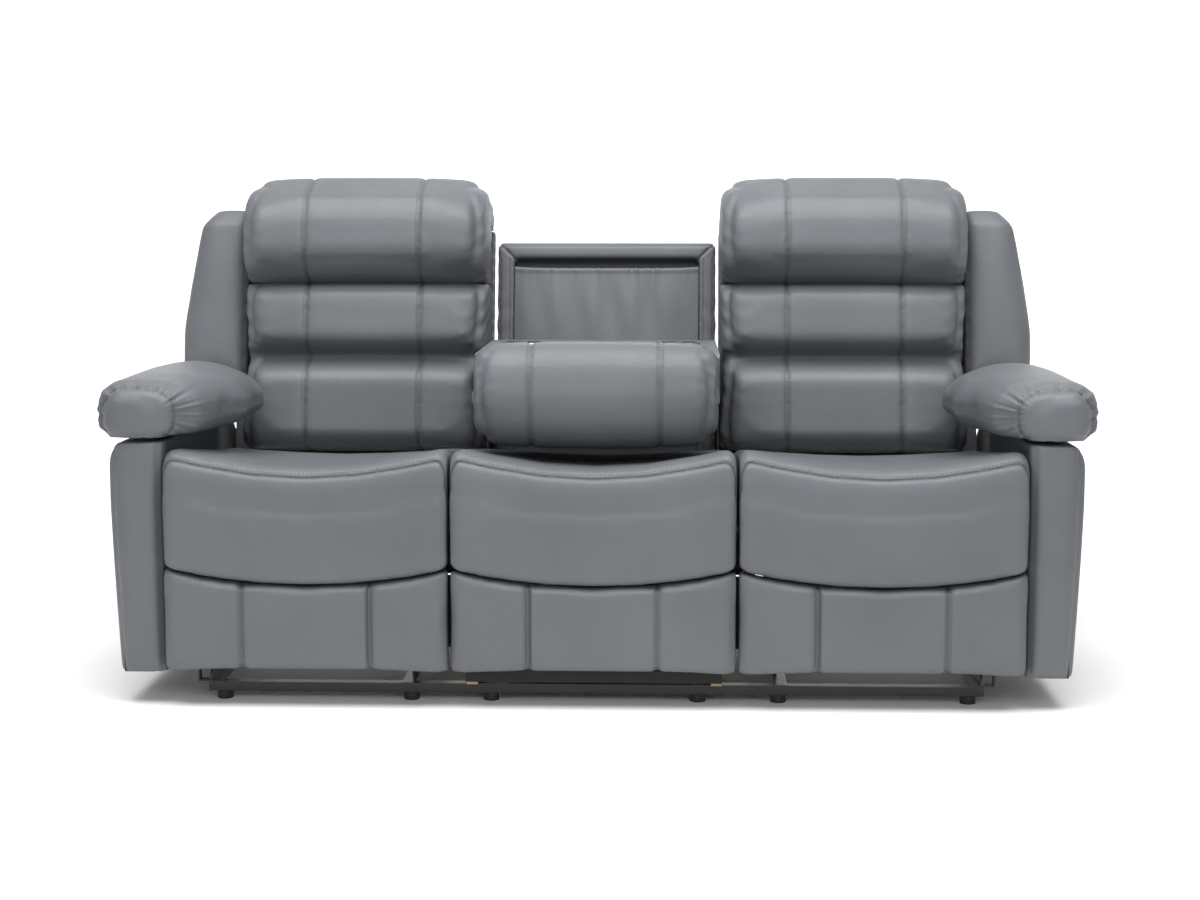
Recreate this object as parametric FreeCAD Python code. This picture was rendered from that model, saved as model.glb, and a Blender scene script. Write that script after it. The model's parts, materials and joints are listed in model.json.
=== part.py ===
"""Three-seat reclining sofa whose middle back folds down into a console with cup holders.

x runs along the seats, y to the rear and z up, in millimetres. The origin lies on the floor under
the middle of the footprint. The middle back is modelled folded down, the two outer seats upright.
The right seat (positive x) is modelled, and the left one is its mirror image.
"""
import FreeCAD
import Part
import math
import os

V = FreeCAD.Vector

# Plan of the sofa
depth = 950.0
seat_width = 566.0
seat_gap = 5.0
arm_width = 110.0
arm_gap = 3.0
seat_pitch = seat_width + seat_gap
seat_half = seat_width / 2
front_y = -depth / 2
rear_y = depth / 2
arm_inner_x = seat_pitch + seat_half + arm_gap
arm_outer_x = arm_inner_x + arm_width

# Clearances
soft_gap = 0.3
pivot_clearance = 0.1
layer_gap = 0.5

# Round stretches are made of straight chords, so that the many links and cushions stay light
soft_chords = 5
steel_chords = 1
pin_sides = 8
tube_sides = 12
cup_sides = 24
flat_within = 1e-8

# Steel base that stands on the floor
glide_radius = 16.0
glide_height = 16.0
rail_height = 19.0
rail_depth = 24.0
rail_wall = 2.0
rail_half_length = seat_pitch + 212.0
front_rail_y = front_y + 95.0
rear_rail_y = rear_y - 245.0
rail_top_z = glide_height + rail_height
glide_x = (seat_half - 74.0, seat_pitch - 200.0, seat_pitch + 181.0)

# Seat height and the curve of the seat's front
seat_box_bottom_z = 262.0
seat_box_top_z = 345.0
webbing_thickness = 2.0
seat_crest_z = 473.0
seat_crest_lift = 42.0
seat_rear_z = 438.0
seat_lip_z = 251.0
seat_lip_lift = 30.0
seat_rear_y = rear_y - 360.0
border_thickness = 70.0

# Footrest and front panels
panel_bottom_z = 74.0
panel_gap = 4.0
panel_half_width = seat_half - 2.0
panel_seam_x = 127.0
board_thickness = 14.0
footrest_board_front = front_y + 43.0
footrest_board_rear = footrest_board_front + board_thickness
footrest_board_z = (88.0, 240.0)

# Wooden seat boxes
rail_board = 22.0
box_front_y = front_y + 80.0
box_rear_y = rear_y - 325.0
box_inner = seat_half - 32.0
webbing_pitch = (box_inner - 67.0) / 2
board_half_width = box_inner + 11.0

# Steel plates and links: distances from the middle of a seat, going inwards
steel = 3.0
seat_plate_s = box_inner - steel
outer_link_s = seat_plate_s - layer_gap - steel
inner_link_s = outer_link_s - layer_gap - steel
swing_s = seat_plate_s - 40.5
base_plate_s = swing_s - layer_gap - steel
base_flange = 22.0
pin_radius = 4.0
pin_head_radius = 7.0
pin_head = 2.5
link_half_width = 9.0
slim_half_width = 8.0

# Swing links that carry a seat forward as its back reclines
swing_length = 130.0
swing_lean = 21.0
swing_base_z = 110.0
swing_front_base_y = front_y + 308.4
swing_rear_base_y = rear_y - 411.6
swing_pin_radius = 6.0
torque_tube_radius = 8.0

# Footrest linkage: link a hangs from A and turns through the whole opening angle
link_a_length = 212.4
link_a_lean = 13.2
pivot_a = (front_y + 194.5, 276.8)
offset_ab = (52.0, -16.0)
offset_cf = (-160.0, 125.0)
distance_ce = 52.0
tube_from_a = 100.0

# Reclining back
lean = math.radians(12.0)
back_y = rear_y - 250.0
back_z = 450.0
back_pivot = (rear_y - 275.0, 330.0)
back_bracket_s = box_inner + layer_gap
post_s = back_bracket_s + steel
post_depth = 98.0
frame_bottom_t = -20.0
frame_top_t = 515.0
shell_bottom_t = -150.0
shell_thickness = 14.0
side_return = 4.0
back_inner_x = seat_pitch - 310.0
back_outer_x = arm_inner_x - 39.0
back_seam = 128.0
low_groove_t = 190.0
high_groove_t = 363.0
tier_depth = 148.0
low_groove_depth = 80.0
high_groove_depth = 88.0
head_depth = 188.0
head_top_t = 609.0
channel_depth = 8.0
wing_bottom_t = 138.0
wing_shoulder_t = 265.0
wing_top_t = 536.0
wing_outer_x = arm_outer_x + 8.0
wing_top_x = arm_outer_x - 31.0
wing_front_n = 57.0

# Console: the folded middle back turns about a hinge line near its lower end
middle_half_width = seat_half - 26.0
console_half_width = middle_half_width - steel - 1.0
hinge_y = rear_y - 315.0
hinge_z = 545.0
console_board_b = (55.0, 67.0)
console_low_b = -45.0
console_groove_b = 8.0
console_crest_b = 173.0
console_board_end = 480.0
tray_top_b = 145.0
tray_end = 372.0
tray_start = -84.0
tray_wall = 8.0
console_seam = 131.0
cup_x = console_half_width - 83.0
cup_from_hinge = 110.0
cup_inner_radius = 40.0
cup_wall = 2.0
cup_flange = 47.5
cup_floor_b = 77.0
hinge_pin_radius = 6.0

# Recess behind the console, with its gathered pouch
recess_front_n = -179.0
recess_rear_n = -236.8
recess_top_t = 411.0
recess_inner_half = middle_half_width - 39.0
recess_inner_top_t = 371.0
recess_board = 12.0
pouch_top_t = 352.0
pouch_bottom_t = 0.0
pouch_waves = 9
pouch_wave_depth = 4.0
pouch_sheet = 3.0

# Arms
arm_bottom_z = 65.0
arm_top_z = 530.0
arm_front_y = front_y + 25.0
arm_rear_y = rear_y - 185.0
arm_slope_start_y = rear_y - 275.0
arm_slope_z = 470.0
arm_wall = 12.0
arm_frame_band = 45.0
arm_frame_x = (25.0, 85.0)
pad_top_z = 657.0
pad_overhang = 25.0

# Release handle in the outer side of each arm
handle_pocket_y = (front_y + 355.0, front_y + 495.0)
handle_pocket_z = (330.0, 400.0)
handle_pocket_depth = 28.0
handle_wall = 3.0
handle_length = 86.0
handle_thickness = 6.0
handle_pin_radius = 3.0
handle_gap = 3.0


def block(x, y, z):
    """Box between pairs of limits."""
    corner = V(x[0], y[0], z[0])
    return Part.makeBox(x[1] - x[0], y[1] - y[0], z[1] - z[0], corner)


def across(x):
    """Places (y, z) outlines in the plane at x."""
    return lambda y, z: V(x, y, z)


def fronting(y):
    """Places (x, z) outlines in the plane at y."""
    return lambda x, z: V(x, y, z)


def leaned(x):
    """Places (n, t) outlines at x: n forward of the back's frame, t up along its lean."""
    return lambda n, t: V(x, *back_point(n, t))


def back_point(n, t):
    """The (y, z) of a point n in front of the back's frame and t up along it."""
    y = back_y - n * math.cos(lean) + t * math.sin(lean)
    z = back_z + n * math.sin(lean) + t * math.cos(lean)
    return y, z


def recess_point(n, t):
    """As back_point, from the console's hinge line."""
    y = hinge_y - n * math.cos(lean) + t * math.sin(lean)
    z = hinge_z + n * math.sin(lean) + t * math.cos(lean)
    return y, z


def recess_plane(x):
    """Places (n, t) outlines of the recess at x."""
    return lambda n, t: V(x, *recess_point(n, t))


def folded(x):
    """Places (a, b) outlines at x: a towards the console's free end, b up from its hinge."""
    return lambda a, b: V(x, hinge_y - a, hinge_z + b)


def rounded(corners, chords):
    """Points of a closed outline through corners (a, b, radius), each rounded by chords."""
    points = []
    for i, (a, b, radius) in enumerate(corners):
        here = V(a, b, 0)
        if radius == 0:
            points.append(here)
            continue
        last = corners[i - 1]
        following = corners[(i + 1) % len(corners)]
        to_last = (V(last[0], last[1], 0) - here).normalize()
        to_next = (V(following[0], following[1], 0) - here).normalize()
        half = to_last.getAngle(to_next) / 2
        inward = (to_last + to_next).normalize()
        centre = here + inward * (radius / math.sin(half))
        start = here + to_last * (radius / math.tan(half)) - centre
        turn = math.pi - 2 * half
        way = 1 if to_last.cross(to_next).z < 0 else -1
        for k in range(chords + 1):
            angle = way * turn * k / chords
            spoke = V(start.x * math.cos(angle) - start.y * math.sin(angle),
                      start.x * math.sin(angle) + start.y * math.cos(angle), 0)
            points.append(centre + spoke)
    return points


def outline(corners, place, chords=soft_chords):
    """Closed wire through corners (a, b, radius)."""
    points = [place(point.x, point.y) for point in rounded(corners, chords)]
    return Part.makePolygon(points + points[:1])


def drawn_in(corners, amounts):
    """Moves each edge inwards by its own amount and keeps its direction; edge i starts at corner i."""
    count = len(corners)
    area = 0
    for i in range(count):
        area += corners[i - 1][0] * corners[i][1] - corners[i][0] * corners[i - 1][1]
    way = 1 if area > 0 else -1
    lines = []
    for i in range(count):
        start = corners[i]
        end = corners[(i + 1) % count]
        along = V(end[0] - start[0], end[1] - start[1], 0).normalize()
        inward = V(-along.y, along.x, 0) * (way * amounts[i])
        lines.append((V(start[0], start[1], 0) + inward, along))
    moved = []
    for i in range(count):
        point, along = lines[i - 1]
        other, across_it = lines[i]
        normal = V(-across_it.y, across_it.x, 0)
        meet = point + along * ((other - point).dot(normal) / along.dot(normal))
        moved.append((meet.x, meet.y, corners[i][2]))
    return moved


def sharp(points):
    """Corners without rounding."""
    return [(a, b, 0) for a, b in points]


def slab(corners, place, along, chords=steel_chords):
    """Outline extruded along a vector."""
    return Part.Face(outline(corners, place, chords)).extrude(along)


def plate(corners, x, thickness, place=across):
    """Plate of an outline from x to x + thickness."""
    return slab(corners, place(x), V(thickness, 0, 0))


def flat_faces(a, b, c, d):
    """One face through four corners, or two where the corners don't lie in one plane."""
    normal = (b - a).cross(d - a).normalize()
    if abs(normal.dot(c - a)) < flat_within:
        return [Part.Face(Part.makePolygon([a, b, c, d, a]))]
    return [Part.Face(Part.makePolygon([a, b, c, a])), Part.Face(Part.makePolygon([a, c, d, a]))]


def loft(wires):
    """Closed solid through sections that have the same corners, with flat faces between them."""
    rings = [[vertex.Point for vertex in wire.OrderedVertexes] for wire in wires]
    faces = [Part.Face(wires[0]), Part.Face(wires[-1])]
    for lower, upper in zip(rings, rings[1:]):
        for i in range(len(lower)):
            faces.extend(flat_faces(lower[i - 1], lower[i], upper[i], upper[i - 1]))
    return Part.makeSolid(Part.makeShell(faces))


def rod(x0, x1, y, z, radius, sides=pin_sides):
    """Round bar along x, as a prism whose corners lie on the radius."""
    spokes = [math.pi * (2 * k + 1) / sides for k in range(sides)]
    start = min(x0, x1)
    points = [V(start, y + radius * math.cos(angle), z + radius * math.sin(angle)) for angle in spokes]
    face = Part.Face(Part.makePolygon(points + points[:1]))
    return face.extrude(V(abs(x1 - x0), 0, 0))


def ring(x, y, z, radius, sides):
    """Level polygon whose corners lie on a circle."""
    spokes = [math.pi * (2 * k + 1) / sides for k in range(sides)]
    points = [V(x + radius * math.cos(angle), y + radius * math.sin(angle), z) for angle in spokes]
    return Part.makePolygon(points + points[:1])


def upright(x, y, z, height, radius, sides=tube_sides):
    """Round bar that stands at (x, y), from z up."""
    return Part.Face(ring(x, y, z, radius, sides)).extrude(V(0, 0, height))


def strap(points, half_width, x):
    """Flat link of one steel thickness through points, with round ends, from x outwards."""
    left = []
    right = []
    last = len(points) - 1
    for i, (y, z) in enumerate(points):
        before = points[max(i - 1, 0)]
        after = points[min(i + 1, last)]
        into = V(y - before[0], z - before[1], 0)
        out = V(after[0] - y, after[1] - z, 0)
        into = into.normalize() if i > 0 else V(out).normalize()
        out = out.normalize() if i < last else V(into)
        along = (into + out).normalize()
        side = V(-along.y, along.x, 0) * (half_width / along.dot(into))
        end = V(along) * (half_width * ((i == last) - (i == 0)))
        radius = half_width * 0.98 if i in (0, last) else 0
        here = V(y, z, 0) + end
        left.append((here.x + side.x, here.y + side.y, radius))
        right.append((here.x - side.x, here.y - side.y, radius))
    return slab(left + right[::-1], across(x), V(steel, 0, 0), 3)


def hole(x, y, z, radius):
    """Cutter for a running hole through a plate at x, with its flats clear of the pin's corners."""
    clear = (radius + pivot_clearance) / math.cos(math.pi / pin_sides)
    return rod(x - 1, x + steel + 1, y, z, clear)


def inward_pin(x_plate, x_last, y, z, radius, head_radius):
    """Pin from a plate's inner face through the next layers, with its head beyond x_last."""
    end = x_last - layer_gap / 2
    return rod(end, x_plate, y, z, radius).fuse(rod(end - pin_head, end, y, z, head_radius))


def mirrored(shape, x=0.0):
    """Mirror image across the plane at x."""
    return shape.mirror(V(x, 0, 0), V(1, 0, 0))


def at_seat(shape):
    """Moves what was modelled about a seat's middle to the right seat."""
    moved = shape.copy()
    moved.translate(V(seat_pitch, 0, 0))
    return moved


def both_sides(shape):
    """The shape and its mirror image about a seat's middle, as a list."""
    return [shape, mirrored(shape)]


def solids_of(shapes):
    found = []
    for shape in shapes:
        found.extend(shape.Solids)
    return found


def export(name, *shapes):
    """Writes one node from its solids."""
    parts = solids_of(shapes)
    whole = parts[0] if len(parts) == 1 else Part.makeCompound(parts)
    if not all(solid.isValid() for solid in parts):
        print("not valid:", name)
    whole.exportStep("parts/" + name + ".step")
    box = whole.BoundBox
    print(f"{name:24s} {len(parts):2d}  x {box.XMin:7.1f} {box.XMax:7.1f}"
          f"  y {box.YMin:7.1f} {box.YMax:7.1f}  z {box.ZMin:7.1f} {box.ZMax:7.1f}")


def export_pair(name, *shapes):
    """Writes a right-hand node and its mirror image."""
    export("right_" + name, *shapes)
    export("left_" + name, *[mirrored(shape) for shape in shapes])


def rise(s, middle, lift):
    """Height that grows from the seat's middle to its sides."""
    return middle + lift * (s / seat_half) ** 2


# Steel base

def make_rail(y):
    """Rectangular tube across the whole sofa."""
    half = rail_half_length
    outer = block((-half, half), (y - rail_depth / 2, y + rail_depth / 2), (glide_height, rail_top_z))
    inner_half = rail_depth / 2 - rail_wall
    inner = block((-half - 1, half + 1), (y - inner_half, y + inner_half),
                  (glide_height + rail_wall, rail_top_z - rail_wall))
    return outer.cut(inner)


def make_glides():
    """Round floor glides under both rails."""
    glides = []
    for y in (front_rail_y, rear_rail_y):
        for x in glide_x:
            for side in (-1, 1):
                glides.append(upright(side * x, y, 0, glide_height, glide_radius))
    return glides


def make_base_plate():
    """Side member of the base with the lower pivots of the swing links."""
    low = rail_top_z + 27.0
    high = swing_base_z + 14.0
    profile = [
        (front_rail_y - 20, rail_top_z, 0),
        (front_rail_y - 20, low, 8),
        (swing_front_base_y - 48, low, 20),
        (swing_front_base_y - 18, high, 14),
        (swing_rear_base_y + 18, high, 14),
        (swing_rear_base_y + 48, low, 20),
        (rear_rail_y + 20, low, 8),
        (rear_rail_y + 20, rail_top_z, 0),
    ]
    web = plate(profile, base_plate_s, steel)
    middle_y = (swing_front_base_y + swing_rear_base_y) / 2
    window = [
        (middle_y - 75, rail_top_z + 18, 12),
        (middle_y - 75, high - 14, 12),
        (middle_y + 75, high - 14, 12),
        (middle_y + 75, rail_top_z + 18, 12),
    ]
    web = web.cut(plate(window, base_plate_s - 1, steel + 2))
    flange = block((base_plate_s - base_flange, base_plate_s), (front_rail_y - 20, rear_rail_y + 20),
                   (rail_top_z, rail_top_z + steel))
    whole = web.fuse(flange)
    head_start = swing_s + steel + layer_gap / 2
    for y in (swing_front_base_y, swing_rear_base_y):
        pin = rod(base_plate_s + steel, head_start, y, swing_base_z, swing_pin_radius)
        head = rod(head_start, head_start + pin_head, y, swing_base_z, swing_pin_radius + 3)
        whole = whole.fuse([pin, head])
    return whole.removeSplitter()


def make_base():
    export("front_rail", make_rail(front_rail_y))
    export("rear_rail", make_rail(rear_rail_y))
    export("floor_glides", *make_glides())
    right = [at_seat(shape) for shape in both_sides(make_base_plate())]
    export("base_plates", *right, *[mirrored(shape) for shape in right])


# Seat cushions and front panels

def seat_section(s, drawn):
    """Side outline of a seat cushion at s from its middle, drawn in at its ends."""
    crest = rise(s, seat_crest_z, seat_crest_lift)
    lip = rise(s, seat_lip_z, seat_lip_lift)
    bottom = seat_box_top_z + webbing_thickness + soft_gap
    rear_top = seat_rear_z + 0.35 * (crest - seat_crest_z)
    corners = [
        (seat_rear_y, bottom, 0),
        (front_y + border_thickness, bottom, 0),
        (front_y + border_thickness, lip + 4, 0),
        (front_y + 3, lip, 14),
        (front_y, lip + 110, 40),
        (front_y + 10, crest + 4, 42),
        (front_y + 100, crest - 2, 60),
        (seat_rear_y, rear_top, 0),
    ]
    amounts = [0, 0, drawn / 3, drawn / 2, drawn / 2, drawn, drawn, 0]
    return outline(drawn_in(corners, amounts), across(s))


def make_seat_cushion():
    """Seat with a low middle, high sides and a front border down to the footrest's line."""
    half = seat_half
    right = [(0, 0), (half * 0.35, 0), (half * 0.7, 0), (half - 16, 2), (half, 16)]
    left = [(-s, drawn) for s, drawn in reversed(right[1:])]
    return loft([seat_section(s, drawn) for s, drawn in left + right])


def panel_section(s, drawn, rear):
    """Side outline of a front panel at s, with its top under the seat's lip."""
    top = rise(s, seat_lip_z, seat_lip_lift) - panel_gap
    corners = [
        (rear, panel_bottom_z, 0),
        (front_y, panel_bottom_z, 16),
        (front_y, top, 16),
        (rear, top, 0),
    ]
    return outline(drawn_in(corners, [drawn / 4, drawn, drawn / 4, 0]), across(s))


def channelled(half, seam, end_draw):
    """Stations of a cushion with two sewn channels: (s, drawn)."""
    right = [
        (seam - 9, 0.0),
        (seam, channel_depth),
        (seam + 9, 0.0),
        (half - 20, end_draw / 6),
        (half, end_draw),
    ]
    left = [(-s, drawn) for s, drawn in reversed(right)]
    return left + right


def make_panel(rear):
    """Upholstered front panel with two vertical channels, its top curved like the seat's lip."""
    stations = channelled(panel_half_width, panel_seam_x, 12)
    middle = [(0.0, 0.0)]
    half = len(stations) // 2
    stations = stations[:half] + middle + stations[half:]
    return loft([panel_section(s, drawn, rear) for s, drawn in stations])


def make_webbing(rear):
    """Elastic straps from the front rail to the rear rail of a seat box."""
    straps = []
    for i in range(-2, 3):
        middle = i * webbing_pitch
        straps.append(block((middle - 25, middle + 25), (box_front_y, rear),
                            (seat_box_top_z, seat_box_top_z + webbing_thickness)))
    return straps


# Middle seat, fixed to the base

def make_centre_box():
    """Plywood box that carries the middle seat, the recess and the console's hinge."""
    inner = middle_half_width - rail_board
    rear_end = rear_y - 145.0
    side = block((inner, middle_half_width), (front_y + 75, rear_end), (rail_top_z, seat_box_top_z))
    window = [
        (front_y + 160, rail_top_z + 60, 40),
        (front_y + 160, seat_box_top_z - 70, 40),
        (rear_end - 90, seat_box_top_z - 70, 40),
        (rear_end - 90, rail_top_z + 60, 40),
    ]
    side = side.cut(plate(window, inner - 1, rail_board + 2))
    face_z = (50.0, footrest_board_z[1] + 5)
    front = block((-middle_half_width, middle_half_width), (front_y + 57, front_y + 75), face_z)
    top_rail = block((-inner, inner), (box_front_y, box_front_y + rail_board), (295, seat_box_top_z))
    rear_rail = block((-inner, inner), (box_rear_y - rail_board, box_rear_y), (295, seat_box_top_z))
    rear = block((-inner, inner), (rear_end - 18, rear_end), (60, seat_box_top_z))
    return side.fuse([mirrored(side), front, top_rail, rear_rail, rear]).removeSplitter()


def make_centre():
    export("centre_seat_box", make_centre_box())
    export("centre_seat_webbing", *make_webbing(box_rear_y))
    export("centre_seat_cushion", make_seat_cushion())
    export("centre_front_panel", make_panel(front_y + 57))
    base_board = block((-middle_half_width, middle_half_width), (front_y + 45, front_y + 57), (47, 72))
    export("centre_base_board", base_board)


# Outer seats and their mechanism

def swing_top(base_y, angle=-swing_lean):
    """Upper pivot of a swing link at an angle from upright, forward positive."""
    reach = math.radians(angle)
    return base_y - swing_length * math.sin(reach), swing_base_z + swing_length * math.cos(reach)


def linkage_points():
    """Footrest pivots with the footrest stowed, as (y, z)."""
    down = math.radians(link_a_lean)
    along = (math.sin(down), -math.cos(down))
    a = pivot_a
    c = (a[0] + link_a_length * along[0], a[1] + link_a_length * along[1])
    e = (c[0] - distance_ce * along[0], c[1] - distance_ce * along[1])
    points = {"A": a, "C": c, "E": e}
    points["B"] = (a[0] + offset_ab[0], a[1] + offset_ab[1])
    points["D"] = (c[0] + offset_ab[0], c[1] + offset_ab[1])
    points["F"] = (c[0] + offset_cf[0], c[1] + offset_cf[1])
    points["G"] = (e[0] + offset_cf[0], e[1] + offset_cf[1])
    points["elbow"] = (e[0] - 28, e[1] + 4)
    points["tube"] = (a[0] + tube_from_a * along[0], a[1] + tube_from_a * along[1])
    return points


def make_seat_box():
    """Wooden frame under an outer seat."""
    outer = box_inner + rail_board
    side = block((box_inner, outer), (box_front_y, box_rear_y), (seat_box_bottom_z, seat_box_top_z))
    front = block((-box_inner, box_inner), (box_front_y, box_front_y + rail_board),
                  (295, seat_box_top_z))
    rear = block((-box_inner, box_inner), (box_rear_y - rail_board, box_rear_y),
                 (seat_box_bottom_z, seat_box_top_z))
    wood = side.fuse([mirrored(side), front, rear])
    return wood.cut(both_sides(plate(seat_plate_profile(), seat_plate_s, steel))).removeSplitter()


def seat_plate_profile():
    """Side outline of the steel plate on a seat box."""
    points = linkage_points()
    a_y, a_z = points["A"]
    front_top = swing_top(swing_front_base_y)
    rear_top = swing_top(swing_rear_base_y)
    top = seat_box_top_z - 6
    return [
        (a_y - 24, a_z - 16, 8),
        (a_y - 24, a_z + 22, 8),
        (a_y - 2, top, 10),
        (box_rear_y + 22, top, 10),
        (back_pivot[0] + 8, back_pivot[1] + 18, 14),
        (back_pivot[0] + 20, back_pivot[1] - 10, 14),
        (back_pivot[0] - 10, back_pivot[1] - 22, 10),
        (rear_top[0] + 16, rear_top[1] - 14, 10),
        (front_top[0] - 20, front_top[1] - 14, 10),
        (points["B"][0], points["B"][1] - 18, 10),
    ]


def make_seat_plate(points):
    """Steel side plate of a seat with all pivots of the mechanism."""
    front_top = swing_top(swing_front_base_y)
    rear_top = swing_top(swing_rear_base_y)
    body = plate(seat_plate_profile(), seat_plate_s, steel)
    between = (front_top[0] + rear_top[0]) / 2
    for middle in (between - 52, between + 52):
        window = [
            (middle - 36, front_top[1] + 8, 14),
            (middle - 36, seat_box_top_z - 40, 14),
            (middle + 36, seat_box_top_z - 40, 14),
            (middle + 36, front_top[1] + 8, 14),
        ]
        body = body.cut(plate(window, seat_plate_s - 1, steel + 2))
    pins = []
    for name in ("A", "B"):
        y, z = points[name]
        pins.append(inward_pin(seat_plate_s, outer_link_s, y, z, pin_radius, pin_head_radius))
    for y, z in (front_top, rear_top):
        pins.append(inward_pin(seat_plate_s, swing_s, y, z, swing_pin_radius, swing_pin_radius + 3))
    outer = seat_plate_s + steel
    last = back_bracket_s + steel + layer_gap / 2
    pins.append(rod(outer, last, back_pivot[0], back_pivot[1], swing_pin_radius))
    pins.append(rod(last, last + pin_head, back_pivot[0], back_pivot[1], swing_pin_radius + 3))
    return body.fuse(pins).removeSplitter()


def make_swing(base_y):
    """Pair of swing links joined by a torque tube."""
    low = (base_y, swing_base_z)
    high = swing_top(base_y)
    side = strap([low, high], 12.0, swing_s)
    for y, z in (low, high):
        side = side.cut(hole(swing_s, y, z, swing_pin_radius))
    middle = ((low[0] + high[0]) / 2, (low[1] + high[1]) / 2)
    tube = rod(-swing_s - 0.5, swing_s + 0.5, middle[0], middle[1], torque_tube_radius,
               tube_sides)
    return side.fuse([mirrored(side), tube]).removeSplitter()


def make_link_a(points):
    """Main footrest link on each side, joined by a torque tube."""
    side = strap([points["A"], points["C"]], link_half_width, outer_link_s)
    side = side.cut(hole(outer_link_s, *points["A"], pin_radius))
    for name in ("C", "E"):
        pin = inward_pin(outer_link_s, inner_link_s, *points[name], pin_radius, pin_head_radius)
        side = side.fuse(pin)
    tube = rod(-outer_link_s - 0.5, outer_link_s + 0.5, *points["tube"], torque_tube_radius, tube_sides)
    return side.fuse([mirrored(side), tube]).removeSplitter()


def make_link_b(points):
    """Control link beside link a."""
    side = strap([points["B"], points["D"]], link_half_width, outer_link_s)
    side = side.cut(hole(outer_link_s, *points["B"], pin_radius))
    return side.fuse(inward_pin(outer_link_s, inner_link_s, *points["D"], pin_radius, pin_head_radius))


def make_link_c(points):
    """Long link that carries the footrest, kept level by link b."""
    side = strap([points["D"], points["C"], points["F"]], slim_half_width, inner_link_s)
    for name in ("D", "C", "F"):
        side = side.cut(hole(inner_link_s, *points[name], pin_radius))
    return side


def make_link_d(points):
    """Link that turns the footrest as it opens."""
    side = strap([points["E"], points["elbow"], points["G"]], slim_half_width, inner_link_s)
    for name in ("E", "G"):
        side = side.cut(hole(inner_link_s, *points[name], pin_radius))
    return side


def make_footrest_board(points):
    """Plywood board of the footrest with its two steel brackets."""
    board = block((-board_half_width, board_half_width), (footrest_board_front, footrest_board_rear),
                  footrest_board_z)
    f_y, f_z = points["F"]
    g_y, g_z = points["G"]
    ear = [
        (footrest_board_rear, f_z - 70, 0),
        (footrest_board_rear, g_z + 9, 4),
        (g_y + 9, g_z + 9, 8),
        (f_y + 10, f_z - 2, 8),
        (f_y + 4, f_z - 14, 6),
    ]
    bracket = plate(ear, outer_link_s, steel)
    flange = block((outer_link_s - 20, outer_link_s + steel),
                   (footrest_board_rear, footrest_board_rear + steel),
                   (f_z - 70, footrest_board_z[1]))
    pins = [inward_pin(outer_link_s, inner_link_s, y, z, pin_radius, pin_head_radius)
            for y, z in (points["F"], points["G"])]
    side = bracket.fuse([flange] + pins)
    return board.fuse([side, mirrored(side)]).removeSplitter()


def make_outer_seats():
    """Both outer seats with their links and footrests."""
    points = linkage_points()
    export_pair("seat_box", at_seat(make_seat_box()))
    export_pair("seat_webbing", *[at_seat(shape) for shape in make_webbing(box_rear_y)])
    export_pair("seat_cushion", at_seat(make_seat_cushion()))
    export_pair("seat_plates", *[at_seat(shape) for shape in both_sides(make_seat_plate(points))])
    export_pair("swing_front", at_seat(make_swing(swing_front_base_y)))
    export_pair("swing_rear", at_seat(make_swing(swing_rear_base_y)))
    export_pair("link_a", at_seat(make_link_a(points)))
    for name, make in (("link_b", make_link_b), ("link_c", make_link_c), ("link_d", make_link_d)):
        export_pair(name, *[at_seat(shape) for shape in both_sides(make(points))])
    export_pair("footrest_board", at_seat(make_footrest_board(points)))
    export_pair("footrest_pad", at_seat(make_panel(footrest_board_front)))


# Reclining backs

def lumbar_section(x, drawn):
    """Lower two tiers of a back with the groove between them."""
    top = high_groove_t - 1.5
    corners = [
        (soft_gap, -10, 0),
        (tier_depth - 12, -26, 42),
        (tier_depth, low_groove_t - 40, 42),
        (low_groove_depth, low_groove_t, 0),
        (tier_depth - 2, low_groove_t + 26, 32),
        (tier_depth - 2, top - 28, 38),
        (high_groove_depth, top, 0),
        (soft_gap, top, 0),
    ]
    slight = drawn * 0.3
    return outline(drawn_in(corners, [slight, drawn, slight, slight, drawn, slight, 0, 0]), leaned(x))


def head_section(x, drawn):
    """Head roll that wraps over the top of the back's frame."""
    bottom = high_groove_t + 1.5
    wrap = frame_top_t + 2
    rear = -post_depth - shell_thickness
    corners = [
        (soft_gap, bottom, 0),
        (high_groove_depth, bottom, 0),
        (head_depth - 2, bottom + 36, 52),
        (head_depth, head_top_t - 92, 80),
        (62, head_top_t, 60),
        (rear + 20, head_top_t - 16, 40),
        (rear, wrap, 0),
        (soft_gap, wrap, 0),
    ]
    slight = drawn * 0.3
    return outline(drawn_in(corners, [0, slight, drawn, drawn / 2, slight, slight / 3, 0, 0]), leaned(x))


def back_stations(end_draw):
    """Stations across an outer back: (x, drawn)."""
    middle = (back_inner_x + back_outer_x) / 2
    half = (back_outer_x - back_inner_x) / 2
    return [(middle + s, drawn) for s, drawn in channelled(half, back_seam, end_draw)]


def make_back_frame():
    """Plywood posts and rails inside a back."""
    thick = rail_board
    post = slab(sharp([(0, frame_bottom_t), (0, frame_top_t), (-post_depth, frame_top_t),
                       (-post_depth, frame_bottom_t)]), leaned(post_s), V(thick, 0, 0))
    rails = []
    for low in (frame_bottom_t, 230, frame_top_t - 60):
        high = low + 60
        corners = sharp([(-20, low), (-20, high), (-20 - thick, high), (-20 - thick, low)])
        rails.append(slab(corners, leaned(-post_s), V(2 * post_s, 0, 0)))
    wood = post.fuse([mirrored(post)] + rails)
    return wood.cut(both_sides(make_back_bracket())).removeSplitter()


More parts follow.
